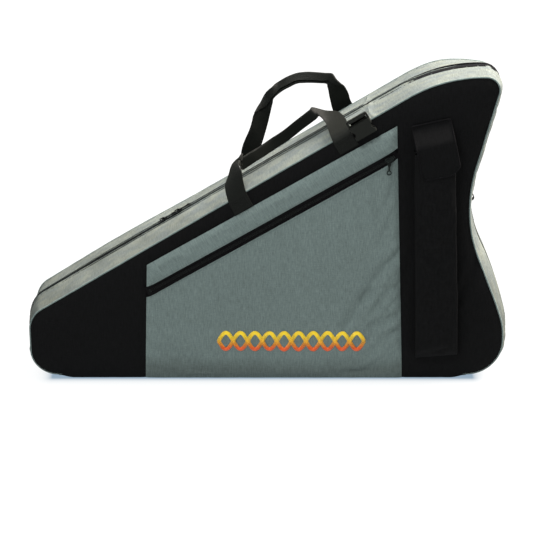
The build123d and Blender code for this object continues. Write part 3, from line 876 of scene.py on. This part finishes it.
def make_gusset():
    for body, side, label in HALVES:
        for part, start, end in GUSSET_LENGTHS:
            verts, faces, uv = strip_surface(steps(start, end, 4 * MM), across(side, ZIP_HALF, SEAM_Y, 26),
                                             seed=side * 2.0)
            faces = outward(faces, side)
            seam_dip(verts, uv)
            open_zip(verts)
            run, depth = uv[:, 0], np.abs(uv[:, 1])
            sewn = (depth < ZIP_HALF + 2 * MM) | (depth > SEAM_Y - 2 * MM) | (verts[:, 2] < 45 * MM)
            sewn |= (np.abs(run - start) < 3 * MM) | (np.abs(run - end) < 3 * MM)
            verts = settle(verts, faces, sewn, grow=0.02, push=0.3, limit=2.4 * MM)
            nodes = (f"{label}_gusset_{part}",) + ((f"{label}_gusset_foam",) if part == "slope" else ())
            cloth(f"{label}_gusset_{part}_cloth", body, "gusset_cloth", verts, faces, uv, nodes=nodes)
        make_gusset_lining(body, side, label)
        make_seam_cord(body, side, label)


def open_zip(verts):
    """The cloth lies further off the zipper toward the nose."""
    reach = np.clip(1 - (np.abs(verts[:, 1]) - ZIP_HALF) / (25 * MM), 0, 1)
    verts[:, 1] += np.sign(verts[:, 1]) * 2.8 * MM * reach * (1 - ease(verts[:, 0], -330 * MM, 20 * MM))


def seam_dip(verts, uv):
    """The cross seam pulls the cloth in beside its stitches."""
    gap = np.abs(uv[:, 0] - CROSS_SEAM_S)
    dip = 0.9 * MM * bell(gap, 3.5 * MM)
    normal = list(SEAM.at(uv[:, 0]))[1]
    verts[:, 0] -= dip * normal[:, 0]
    verts[:, 2] -= dip * normal[:, 1]


def make_gusset_lining(body, side, label):
    """Inside of the gusset, turned up to the zipper tape over the edge of the padding."""
    profile = [(66, -7.2), (50, -7.0), (30, -7.0), (16, -6.6), (11, -4.5), (9, -0.5), (7.5, 3.5), (6.2, 6.2)]
    s_values = steps(OPEN_START, OPEN_END, 7 * MM)
    point, normal = SEAM.at(s_values)
    rows = []
    for p, n in zip(point, normal):
        for y, off in profile:
            wave = 0.5 * MM * noise.noise(Vector((p[0] * 14, y * 0.05, p[1] * 14)))
            q = p + n * (off * MM + wave)
            rows.append((q[0], side * y * MM, q[1]))
    uv = np.array([(s, y * MM) for s in s_values for y, off in profile])
    cloth(f"{label}_gusset_lining_cloth", body, "lining", np.array(rows),
          outward(grid_faces(len(s_values), len(profile)), side), uv, 0.9 * MM, (f"{label}_gusset_lining",))


def tube(path, radius, sides=8, closed=False):
    """Tube along points, with its map in metres."""
    path = np.asarray(path)
    ahead = np.roll(path, -1, axis=0) - np.roll(path, 1, axis=0)
    if not closed:
        ahead[0], ahead[-1] = path[1] - path[0], path[-1] - path[-2]
    ahead = unit(ahead)
    first = unit(np.cross(ahead, [0.0, 1.0, 0.0]))
    second = np.cross(ahead, first)
    angle = np.linspace(0, 2 * math.pi, sides, endpoint=False)[None, :, None]
    ring = first[:, None] * np.cos(angle) + second[:, None] * np.sin(angle)
    verts = (path[:, None] + ring * radius).reshape(-1, 3)
    count = len(path)
    faces = []
    for i in range(count if closed else count - 1):
        j = (i + 1) % count
        for k in range(sides):
            m = (k + 1) % sides
            faces.append([i * sides + k, i * sides + m, j * sides + m, j * sides + k])
    if not closed:
        faces.append(list(range(sides))[::-1])
        faces.append([(count - 1) * sides + k for k in range(sides)])
    uv = np.array([(r, k * 2 * math.pi * radius / sides) for r in run_along(path) for k in range(sides)])
    return verts, faces, uv


def make_seam_cord(body, side, label):
    """Rolled seam where panel and gusset meet."""
    s = steps(OPEN_START, OPEN_END, 4 * MM)
    point, normal = SEAM.at(s)
    wave = 0.25 * MM * ripple(columns(point[:, 0], point[:, 1], 0), 0.02, 8.0)
    x, z = (point + normal * wave[:, None]).T
    piece(f"{label}_seam_roll", body, "gray_cloth", *tube(columns(x, side * SEAM_Y, z), 1.5 * MM),
          (f"{label}_piping",))


def make_bottom():
    """Bottom gusset: flat where it stands, turned up to both seams; its lining; the fold strip."""
    x = steps(RUN_LEFT, RUN_RIGHT, 6 * MM)
    front = [(71.7, 7.6), (71.4, 6.2), (71.0, 4.4), (69.8, 2.2), (67.4, 0.7), (62.0, 0.0), (40.0, 0.0)]
    back = [(72.0, 8.0), (73.0, 6.6), (73.4, 4.6), (72.6, 2.4), (70.0, 0.7), (64.0, 0.0), (40.0, 0.0)]
    profile = np.concatenate([smooth_path(np.array(front) * MM, 34) * [-1, 1],
                              smooth_path(np.array(back) * MM, 34)[::-1]])
    profile[:, 1] = np.maximum(profile[:, 1], 0)
    s_grid, k = pairs(x, np.arange(len(profile)))
    from_end = np.minimum(s_grid - RUN_LEFT, RUN_RIGHT - s_grid)
    tucked = 3 * MM * (1 - ease(from_end, 0, 26 * MM)) * (1 - profile[k, 1] / (8 * MM))
    verts = columns(s_grid, profile[k, 0], profile[k, 1] + tucked)
    cloth("bottom_cloth", "tray", "gray_cloth", verts, grid_faces(len(x), len(profile)),
          columns(s_grid, run_along(profile)[k]), nodes=("bottom_gusset", "bottom_foam"))
    y, level = np.transpose([(-71.2, 9.2), (-69.5, 11.5), (-66, 14.2), (-58, 15.6), (-30, 15.5), (0, 15.3),
                             (30, 15.5), (58, 15.6), (65.5, 16.2)]) * MM
    s_grid, y_grid = pairs(x, y)
    z = np.interp(y_grid, y, level)
    z += 0.5 * MM * ripple(columns(s_grid, y_grid, z), 0.06, 5.0)
    cloth("bottom_lining_cloth", "tray", "lining", columns(s_grid, y_grid, z), grid_faces(len(x), len(y)),
          columns(s_grid, y_grid), 0.9 * MM, ("bottom_lining",))
    for side, label, nodes in ((-1, "fold", ("fold_binding",)), (1, "rear_fold", ())):
        piece(f"{label}_seam_roll", "tray", "gray_cloth", *tube(columns(x, side * SEAM_Y, 8 * MM), 1.6 * MM),
              nodes)


# ---- zippers
def main_zip_range():
    """Distance run to the two ends of the main zipper, which stop short of the floor."""
    height = 32 * MM
    right = SEAM.s[np.argmax((SEAM.s > OPEN_START) & (SEAM.point[:, 1] > height))]
    left = SEAM.s[len(SEAM.s) - 1 - np.argmax((SEAM.point[:, 1] > height)[::-1])]
    return right, left


TOOTH = np.array([(x, y, z) for x in (-1, 1) for (y, z) in
                  ((0, -0.6), (0.75, -0.8), (1, -0.2), (1, 0.45), (0.8, 1), (0.1, 0.9))], dtype=float)


def tooth_faces():
    side = [[i, (i + 1) % 6, (i + 1) % 6 + 6, i + 6] for i in range(6)]
    return side + [list(range(6))[::-1], list(range(6, 12))]


def teeth(origins, along, over, up, half_pitch, reach, height):
    """One coil turn at each origin: a rounded bar that reaches sideways over the parting."""
    shape = TOOTH * [half_pitch, reach, height]
    verts = origins[:, None]
    for i, direction in enumerate((along, over, up)):
        verts = verts + shape[None, :, i:i + 1] * direction[:, None]
    base = tooth_faces()
    faces = [[v + len(TOOTH) * i for v in face] for i in range(len(origins)) for face in base]
    return verts.reshape(-1, 3), faces


def make_main_zip():
    start, end = main_zip_range()
    pitch = 1.7 * MM
    for body, side, label in HALVES:
        y = side * np.array([0.5, 3.0, 6.0, 9.0, 12.0]) * MM
        verts, faces, uv = strip_surface(steps(start, end, 5 * MM), y, extra=-1.6 * MM, rough=0)
        cloth(f"{label}_tape_cloth", body, "tape", verts, outward(faces, side), uv, 0.6 * MM,
              (f"{label}_zip_tape",))
        s = np.arange(start, end, pitch) + (pitch / 2 if side < 0 else 0)
        point, normal = SEAM.at(s)
        deep = gusset_offset(s, np.zeros(len(s))) - 0.3 * MM
        x, z = (point + normal * deep[:, None]).T
        origins = columns(x, side * 2.2 * MM, z)
        up = columns(normal[:, 0], 0, normal[:, 1])
        along = columns(normal[:, 1], 0, -normal[:, 0])
        over = np.tile([0.0, -side, 0.0], (len(s), 1))
        turns = teeth(origins, along, over, up, pitch * 0.36, 2.5 * MM, 0.9 * MM)
        piece(f"{label}_coil_turns", body, "coil", *turns, nodes=(f"{label}_zip_coil",), smooth=False)


def make_pocket_zip():
    ends = pocket_zip_line(STRIP_DROP + TAPE_DROP / 2)
    run = np.linalg.norm(ends[1] - ends[0])
    ahead = (ends[1] - ends[0]) / run
    square = np.array([-ahead[1], ahead[0]])
    half = TAPE_DROP / 2 * ahead[0] + 3 * MM
    length = steps(0.5 * MM, run - 0.5 * MM, 5 * MM)
    width = np.array([-1, -0.75, -0.45, -0.2, 0.2, 0.45, 0.75, 1]) * half
    a, b = pairs(length, width)
    points = ends[0] + a[:, None] * ahead + b[:, None] * square
    height = front_height(points, pocket=True) - 0.9 * MM
    cloth("pocket_tape_cloth", "lid", "tape", stand_up(points, height, -1),
          grid_faces(len(length), len(width))[:, ::-1], columns(a, b), 0.6 * MM, ("pocket_zip_tape",))
    pitch = 1.35 * MM
    rows = []
    for side in (-1, 1):
        a = np.arange(10 * MM, run - 10 * MM, pitch) + (pitch / 2 if side > 0 else 0)
        centre = ends[0] + a[:, None] * ahead
        origins = stand_up(centre + side * 3.0 * MM * square,
                           front_height(centre, pocket=True) + 0.25 * MM, -1)
        along, over, up = (np.tile(direction, (len(a), 1)) for direction in (
            [ahead[0], 0, ahead[1]], [-side * square[0], 0, -side * square[1]], [0.0, -1.0, 0.0]))
        rows.append(teeth(origins, along, over, up, pitch * 0.36, 3.3 * MM, 0.75 * MM))
    piece("pocket_coil_turns", "lid", "coil", *joined(rows), nodes=("pocket_zip_coil",), smooth=False)


# ---- webbing
def smooth_path(values, count):
    """Catmull-Rom curve through rows of values, evenly spread in row number."""
    values = np.asarray(values, dtype=float)
    padded_rows = np.concatenate([2 * values[:1] - values[1:2], values, 2 * values[-1:] - values[-2:-1]])
    t = np.linspace(0, len(values) - 1, count)
    i = np.minimum(t.astype(int), len(values) - 2)
    f = (t - i)[:, None]
    p0, p1, p2, p3 = (padded_rows[i + k] for k in range(4))
    return 0.5 * (2 * p1 + (p2 - p0) * f + (2 * p0 - 5 * p1 + 4 * p2 - p3) * f ** 2
                  + (3 * p1 - p0 - 3 * p2 + p3) * f ** 3)


WEBBING_CROWN, FOLD_RADIUS = 0.35 * MM, 1.5 * MM


def webbing_strip(stations, rows, fold_side):
    """Webbing along stations, each the edge's place, the direction across, and the fold. The edge is
    never folded; fold is how much of the far side is turned back under, up to half the width."""
    table = smooth_path([station(*row) for row in stations], rows)
    edge, direction, fold = table[:, :3], unit(table[:, 3:6]), np.clip(table[:, 6], 0, WEBBING / 2)
    middle = edge + direction * WEBBING / 2
    up = unit(np.cross(direction, unit(np.gradient(middle, axis=0))))
    w = np.linspace(0, WEBBING, 33)
    radius = np.minimum(FOLD_RADIUS, fold / math.pi)[:, None] + 1e-9
    main = WEBBING - fold[:, None]
    bend = np.clip((w[None] - main) / radius, 0, math.pi)
    beyond = np.maximum(w[None] - main - math.pi * radius, 0)
    a = np.minimum(w[None], main) + radius * np.sin(bend) - beyond
    b = radius * (1 - np.cos(bend)) * fold_side
    crown = WEBBING_CROWN * np.sin(math.pi * w / WEBBING)
    verts = edge[:, None] + direction[:, None] * a[..., None] + up[:, None] * (b + crown)[..., None]
    uv = columns(run_along(middle)[:, None], w[None]).reshape(-1, 2)
    return verts.reshape(-1, 3), grid_faces(rows, len(w)), uv


def webbing_piece(name, stations, rows, fold_side, nodes, blend):
    verts, faces, uv = webbing_strip(stations, rows, fold_side)
    both, both_faces, both_uv = thicken(verts, faces, uv, 0.9 * MM, 0.9 * MM)
    obj = piece(name, None, "webbing", both, both_faces, both_uv, nodes, blend=blend, auto=40)


def slope_direction(du, dy, dn):
    return (on_slope(du, dy, dn) - on_slope(0, 0, 0)).normalized()


def station(u, y, n, across_u, across_y, across_n, fold=0.0):
    """One row of a handle's table, in mm along the slope, in metres and in the bag's own frame."""
    return (*on_slope(u * MM, y * MM, n * MM), *slope_direction(across_u, across_y, across_n), fold * MM)


FRONT_HANDLE = [                 # u, y, n of the edge; direction across; fold
    (-45, -81.6, -26, -1, 0, 0), (-44, -82.4, -14, -1, 0, 0), (-43, -82.9, -2, -1, 0, 0),
    (-40.5, -83.2, 8, -1, 0, 0), (-35, -80.5, 25, -37, 8, 2), (-29.5, -76, 39, -28, 22, -2),
    (-30, -66, 47, -14, 30, 0, 3), (-31, -56, 48, 4, 22, 3, 12), (-32, -47, 40, 6, 8, 8, 16),
    (-34, -38, 29, 4, -3, 19, 17), (-22, -31, 27.3, 1, -6, 19, 17), (-4, -24, 26.3, 0, -5, 19, 18),
    (12, -16, 24.5, 0, -4, 19, 19), (36, -6, 23.2, 0, -2, 19, 19), (63, 0, 23, 0, -2, 19, 19),
    (93, 2, 27, 0, -2, 19, 19), (115, 2, 29.5, 0, 0, 19, 20), (127, 0, 31.5, 0, 4, 17, 19),
    (134, -5, 35.5, -1, 18, 9, 14), (138.0, -11, 31, 8, 32, 0, 6), (141, -25, 21.5, 27, 25, -1),
    (141.5, -55, 13.5, 37.5, 8, -1), (142.0, -73, 8.5, 1, 0, -0.03), (141.3, -82, 0, 1, 0, 0),
    (141.0, -82.8, -8, 1, 0, 0), (141.0, -82.4, -15, 1, 0, 0), (141.0, -81.6, -26, 1, 0, 0),
]
REAR_HANDLE = [
    (-12, 82.0, -60, -1, 0, 0), (-12, 82.4, -45, -1, 0, 0), (-12, 82.6, -25, -1, 0, 0),
    (-12, 83.0, -8, -1, 0, 0), (-11.5, 82.5, 2, -38, 0, 4), (-8, 81, 10.6, -36, -6, 9),
    (12, 79, 29.5, -16.5, -20, 29), (32, 78, 48.4, -12.6, -16, 34.5, 2), (42, 78, 58.5, -10, -8, 27, 8),
    (52, 78, 68.5, -8, 0, 20, 15), (61, 78, 78, -4.3, 6, 15.4, 18), (68, 78, 85, 6, 6, 15.8, 19),
    (88, 78, 89, 0, 13, 11.5, 19), (105, 78, 88.5, 0, 12, 12.4, 19), (120, 78, 87, 4.5, 12, 10.4, 19),
    (132, 78, 81, 7, 10, 11.6, 19), (143, 78, 74.4, 12.3, 8, 9.8, 19),
    (156, 78, 65.5, 14.7, 6, 9.4, 19), (166, 78, 58, 17, 4, 10, 18), (165, 78, 52, 22, -6, 7, 15),
    (163, 78.5, 45, 28.6, -10, 3.4, 10), (160, 79, 38, 33, -8, 1, 5), (155, 80, 24, 37, -5, -3, 1),
    (150, 82, 8, 38, 0, -2), (149.5, 83.0, -8, 1, 0, 0), (149.5, 82.6, -25, 1, 0, 0),
    (149.5, 82.4, -45, 1, 0, 0), (149.5, 82.0, -60, 1, 0, 0),
]


def make_handles():
    """Both are sewn on at their ends. The front one has flopped back over the gusset; the rear one
    stands up and leans back. Each grip is folded lengthwise."""
    for label, body, y, bend, fold_side, rows, stations in (
            ("front", "lid", -82 * MM, (2 * MM, 14 * MM), 1, 320, FRONT_HANDLE),
            ("rear", "tray", 82 * MM, (-2 * MM, 10 * MM), -1, 340, REAR_HANDLE)):
        handle = f"{label}_handle"
        blend = (body, handle, *(on_slope(0, y, height) for height in bend))
        webbing_piece(f"{handle}_webbing", stations, rows, fold_side, (handle, f"{handle}_ends"), blend)


# ---- accessory pocket and flap
ACCESSORY_LENGTH = 405 * MM
ACCESSORY_SECTION = [            # share across, and share of the depth, from one side seam to the other
    (0.0, 0.0), (0.03, 0.25), (0.05, 0.5), (0.02, 0.8), (0.0, 0.95), (0.03, 1.02), (0.2, 1.06), (0.5, 1.1),
    (0.8, 1.06), (0.97, 1.02), (1.0, 0.95), (0.98, 0.8), (0.95, 0.5), (0.97, 0.25), (1.0, 0.0),
]


def make_accessory_pocket():
    left_top, left_foot, right_top, right_foot = np.array(
        [(267.0, 455.0), (280.0, 47.0), (339.0, 455.0), (357.0, 53.0)]) * MM
    section = smooth_path(ACCESSORY_SECTION, 56)
    rows = 96
    verts, uv = [], []
    for h in np.arange(rows) / (rows - 1):
        low, high = left_foot + (left_top - left_foot) * h, right_foot + (right_top - right_foot) * h
        depth = 21 * MM * (1 - math.exp(-h / 0.02)) * (0.8 + 0.2 * h) + 1.2 * MM
        for k, (across_share, out) in enumerate(section):
            x, z = low + (high - low) * across_share
            verts.append((x, -(PANEL_Y + out * depth), z))
            uv.append((k * 2.2 * MM, h * ACCESSORY_LENGTH))
    verts, uv = np.array(verts), np.array(uv)
    front = np.clip((-verts[:, 1] - PANEL_Y) / (20 * MM), 0, 1)
    broad, fine = ripple(verts * [1, 0, 0.6], 0.035, 21), ripple(verts, 0.014, 22)
    verts[:, 1] -= front * (1.1 * MM * broad + 0.7 * MM * fine)
    verts[:, 0] += front * 1.2 * MM * ripple(verts * [0.3, 0, 1], 0.05, 23)
    verts[:, 1] += front * crease_depth(verts[:, [0, 2]], ACCESSORY_CREASES)
    faces = grid_faces(rows, len(section))[:, ::-1]
    cloth("accessory_pocket_cloth", "lid", "black_cloth", verts, faces, uv, 1.2 * MM, ("accessory_pocket",))


def flap_point(w, s, lift=0.0):
    """Place on the flap: w across, s down from its hinge, lift away from the bag."""
    reach = 24.0 * MM
    share = np.clip(s / (38 * MM), 0, 1)
    out = reach * share * share * (3 - 2 * share) + lift
    x = FLAP_HINGE[0] + w * math.cos(FLAP_LEAN) + s * math.sin(FLAP_LEAN)
    z = FLAP_HINGE[1] + w * math.sin(FLAP_LEAN) - s * math.cos(FLAP_LEAN)
    return columns(x, -(PANEL_Y + 2.2 * MM) - out, z)


FLAP_BLEND = ("lid", "pocket_flap", tuple(flap_point(0.0, 0.001)), tuple(flap_point(0.0, 0.016)))
FLAP_CORNERS = [                 # its flat outline from the hinge down: (across, along) and radius
    ((-35.0, -96.0), 9.0), ((20.0, -96.0), 6.0), ((35.0, -83.0), 6.0), ((35.0, 2.0), 2.0),
    ((-35.0, 2.0), 2.0),
]


def waved_flap(points, lift=0.0):
    """Places on the flap for points of its flat outline, with its soft waves."""
    w, s = points[:, 0], -points[:, 1]
    flat = columns(w, s, 0)
    wave = 0.8 * MM * ripple(flat, 0.03, 31) + 1.2 * MM * np.clip(s / 0.09, 0, 1) * ripple(flat, 0.06, 32)
    return flap_point(w, s, wave + lift)


def make_flap():
    loop = rounded_loop(FLAP_CORNERS, 3 * MM)
    points, faces = fill(loop, 3 * MM)
    verts = waved_flap(points, 0.8 * MM * bell(line_distance(points, loop), 3 * MM))
    cloth("pocket_flap_cloth", None, "black_cloth", verts, faces, points, 1.8 * MM, ("pocket_flap",),
          blend=FLAP_BLEND)
    binding = tube(waved_flap(refine(loop, 3 * MM)), 1.7 * MM, closed=True)
    piece("flap_binding", None, "tape", *binding, blend=FLAP_BLEND)


# ---- ornament
def make_ornament():
    """Two-strand plait in satin stitch: short threads laid square across each strand."""
    centre, span, swing, strand, waves = (46.5 * MM, 82.5 * MM), 272 * MM, 17 * MM, 7.5 * MM, 5
    tree = skin_tree("pocket_panel_cloth")
    pitch = 0.55 * MM
    t = np.arange(0, 1, pitch / (span * 1.25))
    threads = []
    for phase in (0, math.pi):
        angle = 2 * math.pi * waves * t + phase
        slope = swing * 2 * math.pi * waves / span * np.cos(angle)
        middle = columns(centre[0] - span / 2 + span * t, centre[1] + swing * np.sin(angle))
        across_dir = unit(columns(-slope, 1.0))
        over = 0.45 * MM * np.sign(np.cos(angle)) * (1 if phase else -1)
        over = np.clip(np.convolve(over, np.ones(25) / 25, mode="same"), -1, 1)
        base = [tree.ray_cast(Vector((x, -0.3, z)), Vector((0, 1, 0)))[0][1] for x, z in middle]
        for i in range(len(t)):
            rows = []
            for share in np.linspace(-1, 1, 7):
                p = middle[i] + across_dir[i] * share * strand / 2
                rise = 0.15 * MM + (0.75 * MM + over[i]) * math.sqrt(max(0, 1 - share ** 2))
                rows.append((p[0], base[i] - rise, p[1]))
            threads.append(tube(rows, 0.36 * MM, sides=5))
    piece("ornament_thread", "lid", "thread", *joined(threads), nodes=("ornament",))


# ---- small webbing and strips
def flat_strip(name, body, finish, centre_line, across_dir, half, thick, nodes=()):
    """Short flat strip along a few points."""
    line = smooth_path([tuple(p) for p in centre_line], 8 * len(centre_line))
    width = np.linspace(-half, half, 13)
    verts = (line[:, None] + np.array(across_dir)[None, None] * width[None, :, None]).reshape(-1, 3)
    uv = columns(run_along(line)[:, None], width[None]).reshape(-1, 2)
    faces = grid_faces(len(line), len(width))
    both, both_faces, both_uv = thicken(verts, faces, uv, thick / 2, thick / 2)
    obj = piece(name, body, finish, both, both_faces, both_uv, nodes, auto=40)


def make_small_strips():
    """The buckle's webbing, the tab at the waist, and the pile of the flap's hook and loop strips."""
    u = 201.5 * MM
    points = [on_slope(u, y * MM, n * MM) for y, n in
              ((-81.5, -10), (-82, 0), (-82.6, 12), (-84.6, 19.5), (-88.6, 22.2), (-92.8, 21.6),
               (-94.4, 18.5))]
    flat_strip("buckle_webbing", "lid", "webbing", points, slope_direction(1, 0, 0), 16 * MM, 1.5 * MM,
               ("buckle_tab",))
    low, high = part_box("side_tab")
    middle, half = (low[1] + high[1]) / 2, (high[2] - low[2]) / 2
    z = (low[2] + high[2]) / 2
    points = [(low[0] + out * MM, middle, z + rise * half) for out, rise in
              ((-1.0, 0.8), (3.0, 0.7), (5.6, 0.25), (5.8, -0.3), (3.0, -0.75), (-1.0, -0.8))]
    flat_strip("waist_tab", "tray", "webbing", points, (0, 1, 0), 5.2 * MM, 1.3 * MM, ("side_tab",))
    for node, body in (("hook_strip", "pocket_flap"), ("loop_strip", "lid")):
        low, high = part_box(node)
        w = np.array([-22.0, -8.0, 8.0, 22.0]) * MM
        points = flap_point(w, np.full(len(w), 74 * MM))
        points[:, 1] = (low[1] + high[1]) / 2 + 0.15 * MM * np.sin(w / (5 * MM))
        flat_strip(f"{node}_pile", body, "hook_loop", points, (math.sin(FLAP_LEAN), 0, -math.cos(FLAP_LEAN)),
                   10 * MM, (high[1] - low[1]) * 0.9, (node,))


# ---- stitching
def make_stitching():
    """Rows beside both zippers, and a box with a cross on each handle's seats."""
    out = 3 * MM                 # the rows are found from outside the cloth
    for drop, side, skin in ((STRIP_DROP, 1, "pocket_strip_cloth"),
                             (STRIP_DROP + TAPE_DROP, -1, "pocket_panel_cloth")):
        low, high = pocket_zip_line(drop)
        length, ahead = np.linalg.norm(high - low), unit(high - low)
        start = low + side * 2.6 * MM * np.array([-ahead[1], ahead[0]])
        row = start + steps(4 * MM, length - 4 * MM, 20 * MM)[:, None] * ahead
        sew(f"{skin[:-6]}_stitches", "lid", "gray_thread", stand_up(row, POCKET_Y - SEAM_Y + out, -1), skin)
    for body, side, label in HALVES:
        for part, start, end in GUSSET_LENGTHS:
            s = steps(start + 8 * MM, end - 8 * MM, 8 * MM)
            row = strip_surface(s, [side * (ZIP_HALF + 2.4 * MM)], extra=out, rough=0)[0]
            sew(f"{label}_{part}_stitches", body, "gray_thread", row, f"{label}_gusset_{part}_cloth")
    for body, side, skin, label, legs in (("lid", -1, "front_handle_webbing", "front", (-63.5, 161.5)),
                                          ("tray", 1, "rear_handle_webbing", "rear", (-31.0, 168.5))):
        foot = -24 if side < 0 else -58
        for leg, middle in zip(("low", "high"), legs):
            box = [(-15, foot + 3), (15, foot + 3), (15, -4), (-15, -4), (-15, foot + 3), (15, -4)]
            cross = [(15, foot + 3), (-15, -4)]
            for part, corners in (("box", box), ("cross", cross)):
                y = side * (83 * MM + out)
                row = [tuple(on_slope((middle + a) * MM, y, n * MM)) for a, n in corners]
                sew(f"{label}_{leg}_leg_{part}", body, "black_thread", row, skin)


# ---- CAD pieces that stay
def finish_cad_pieces():
    slots = {row["node"]: row["material_slot"] for row in frame["record"]["subparts"]}
    for name in ("lower_slider", "lower_pull", "upper_slider", "upper_pull", "pocket_slider", "pocket_pull",
                 "pocket_zip_stops", "buckle"):
        obj = frame["nodes"][name]
        obj.data.materials.clear()
        obj.data.materials.append(MATERIALS[slots[name]])


# ---- camera, light, floor
def contact_shadow_mask(s, reach):
    """Mask of the painted contact shadow: 1 on the floor under the bag, falling off within about reach of
    its foot.
    """
    split = s.add("SeparateXYZ", i0=s.add("TexCoord").outputs["Object"])
    gaps = []
    for axis, middle, half in ((0, (RUN_LEFT + RUN_RIGHT) / 2, (RUN_RIGHT - RUN_LEFT) / 2 + 10 * MM),
                               (1, 0.0, SEAM_Y)):
        away = s.math("SUBTRACT", s.math("ABSOLUTE", s.math("SUBTRACT", split.outputs[axis], middle)), half)
        gaps.append(s.math("POWER", s.math("MAXIMUM", away, 0.0), 2.0))
    gap = s.math("SQRT", s.math("ADD", *gaps))
    return s.math("EXPONENT", s.math("DIVIDE", gap, -reach))


def make_stage():
    """White sweep that glows enough to stay white, with a faint bluish contact shadow painted into its glow
    round the bag's foot.
    """
    mesh = bpy.data.meshes.new("floor")
    size = 9.0
    corners = [(-size, -size, 0), (size, -size, 0), (size, size, 0), (-size, size, 0)]
    mesh.from_pydata(corners, [], [[0, 1, 2, 3]])
    floor = placed("floor", mesh)
    s = Shader("floor_paper", (0.04, 0.04, 0.04), 0.9, Specular_IOR_Level=0.0, Emission_Strength=1.0)
    # painted contact shadow: the glow turns bluish grey round the bag's foot
    shade = s.ramp(contact_shadow_mask(s, 9 * MM), 0.0, 0.75, (0.97, 0.98, 0.98), (0.30, 0.40, 0.50))
    s.paint("Emission Color", shade)
    mesh.materials.append(s.material)

    world = bpy.data.worlds.new("studio")
    world.use_nodes = True
    glow = world.node_tree.nodes["Background"].inputs
    glow["Color"].default_value = (0.97, 0.985, 1.0, 1)
    glow["Strength"].default_value = 0.25
    bpy.context.scene.world = world
    sun = bpy.data.lights.new("key", "SUN")
    sun.energy, sun.angle, sun.color = 15.0, math.radians(35), (1.0, 0.90, 0.84)
    placed("key", sun).rotation_euler = Vector((0.58, 0.28, 0.77)).to_track_quat("Z", "Y").to_euler()
    for name, place, aim, width, height, power in (
            ("front_fill", (-0.9, -1.9, 3.1), (0.0, 0.0, 0.3), 1.2, 0.9, 72.0),
            ("top_fill", (0.0, 0.2, 2.4), (0.0, 0.0, 0.3), 2.0, 1.5, 35.0)):
        light = bpy.data.lights.new(name, "AREA")
        light.shape = "RECTANGLE"
        light.size, light.size_y, light.energy = width, height, power
        lamp = placed(name, light)
        lamp.location = place
        lamp.rotation_euler = (Vector(aim) - Vector(place)).to_track_quat("-Z", "Y").to_euler()

    data = bpy.data.cameras.new("camera")
    data.sensor_width, data.lens = 36.0, 142.2
    camera = placed("camera", data)
    tilt, reach = math.radians(22), 3.9
    target = Vector((0, -SEAM_Y, 226.7 * MM))
    camera.location = target + Vector((0, -math.cos(tilt), math.sin(tilt))) * reach
    camera.rotation_euler = (math.pi / 2 - tilt, 0, 0)
    bpy.context.scene.camera = camera
    bpy.context.scene.view_settings.view_transform = "Standard"


make_stage()
make_front_panels()
make_back_panel()
make_panel_linings()
make_gusset()
make_bottom()
make_main_zip()
make_pocket_zip()
make_handles()
make_accessory_pocket()
make_flap()
make_ornament()
make_small_strips()
make_stitching()
finish_cad_pieces()
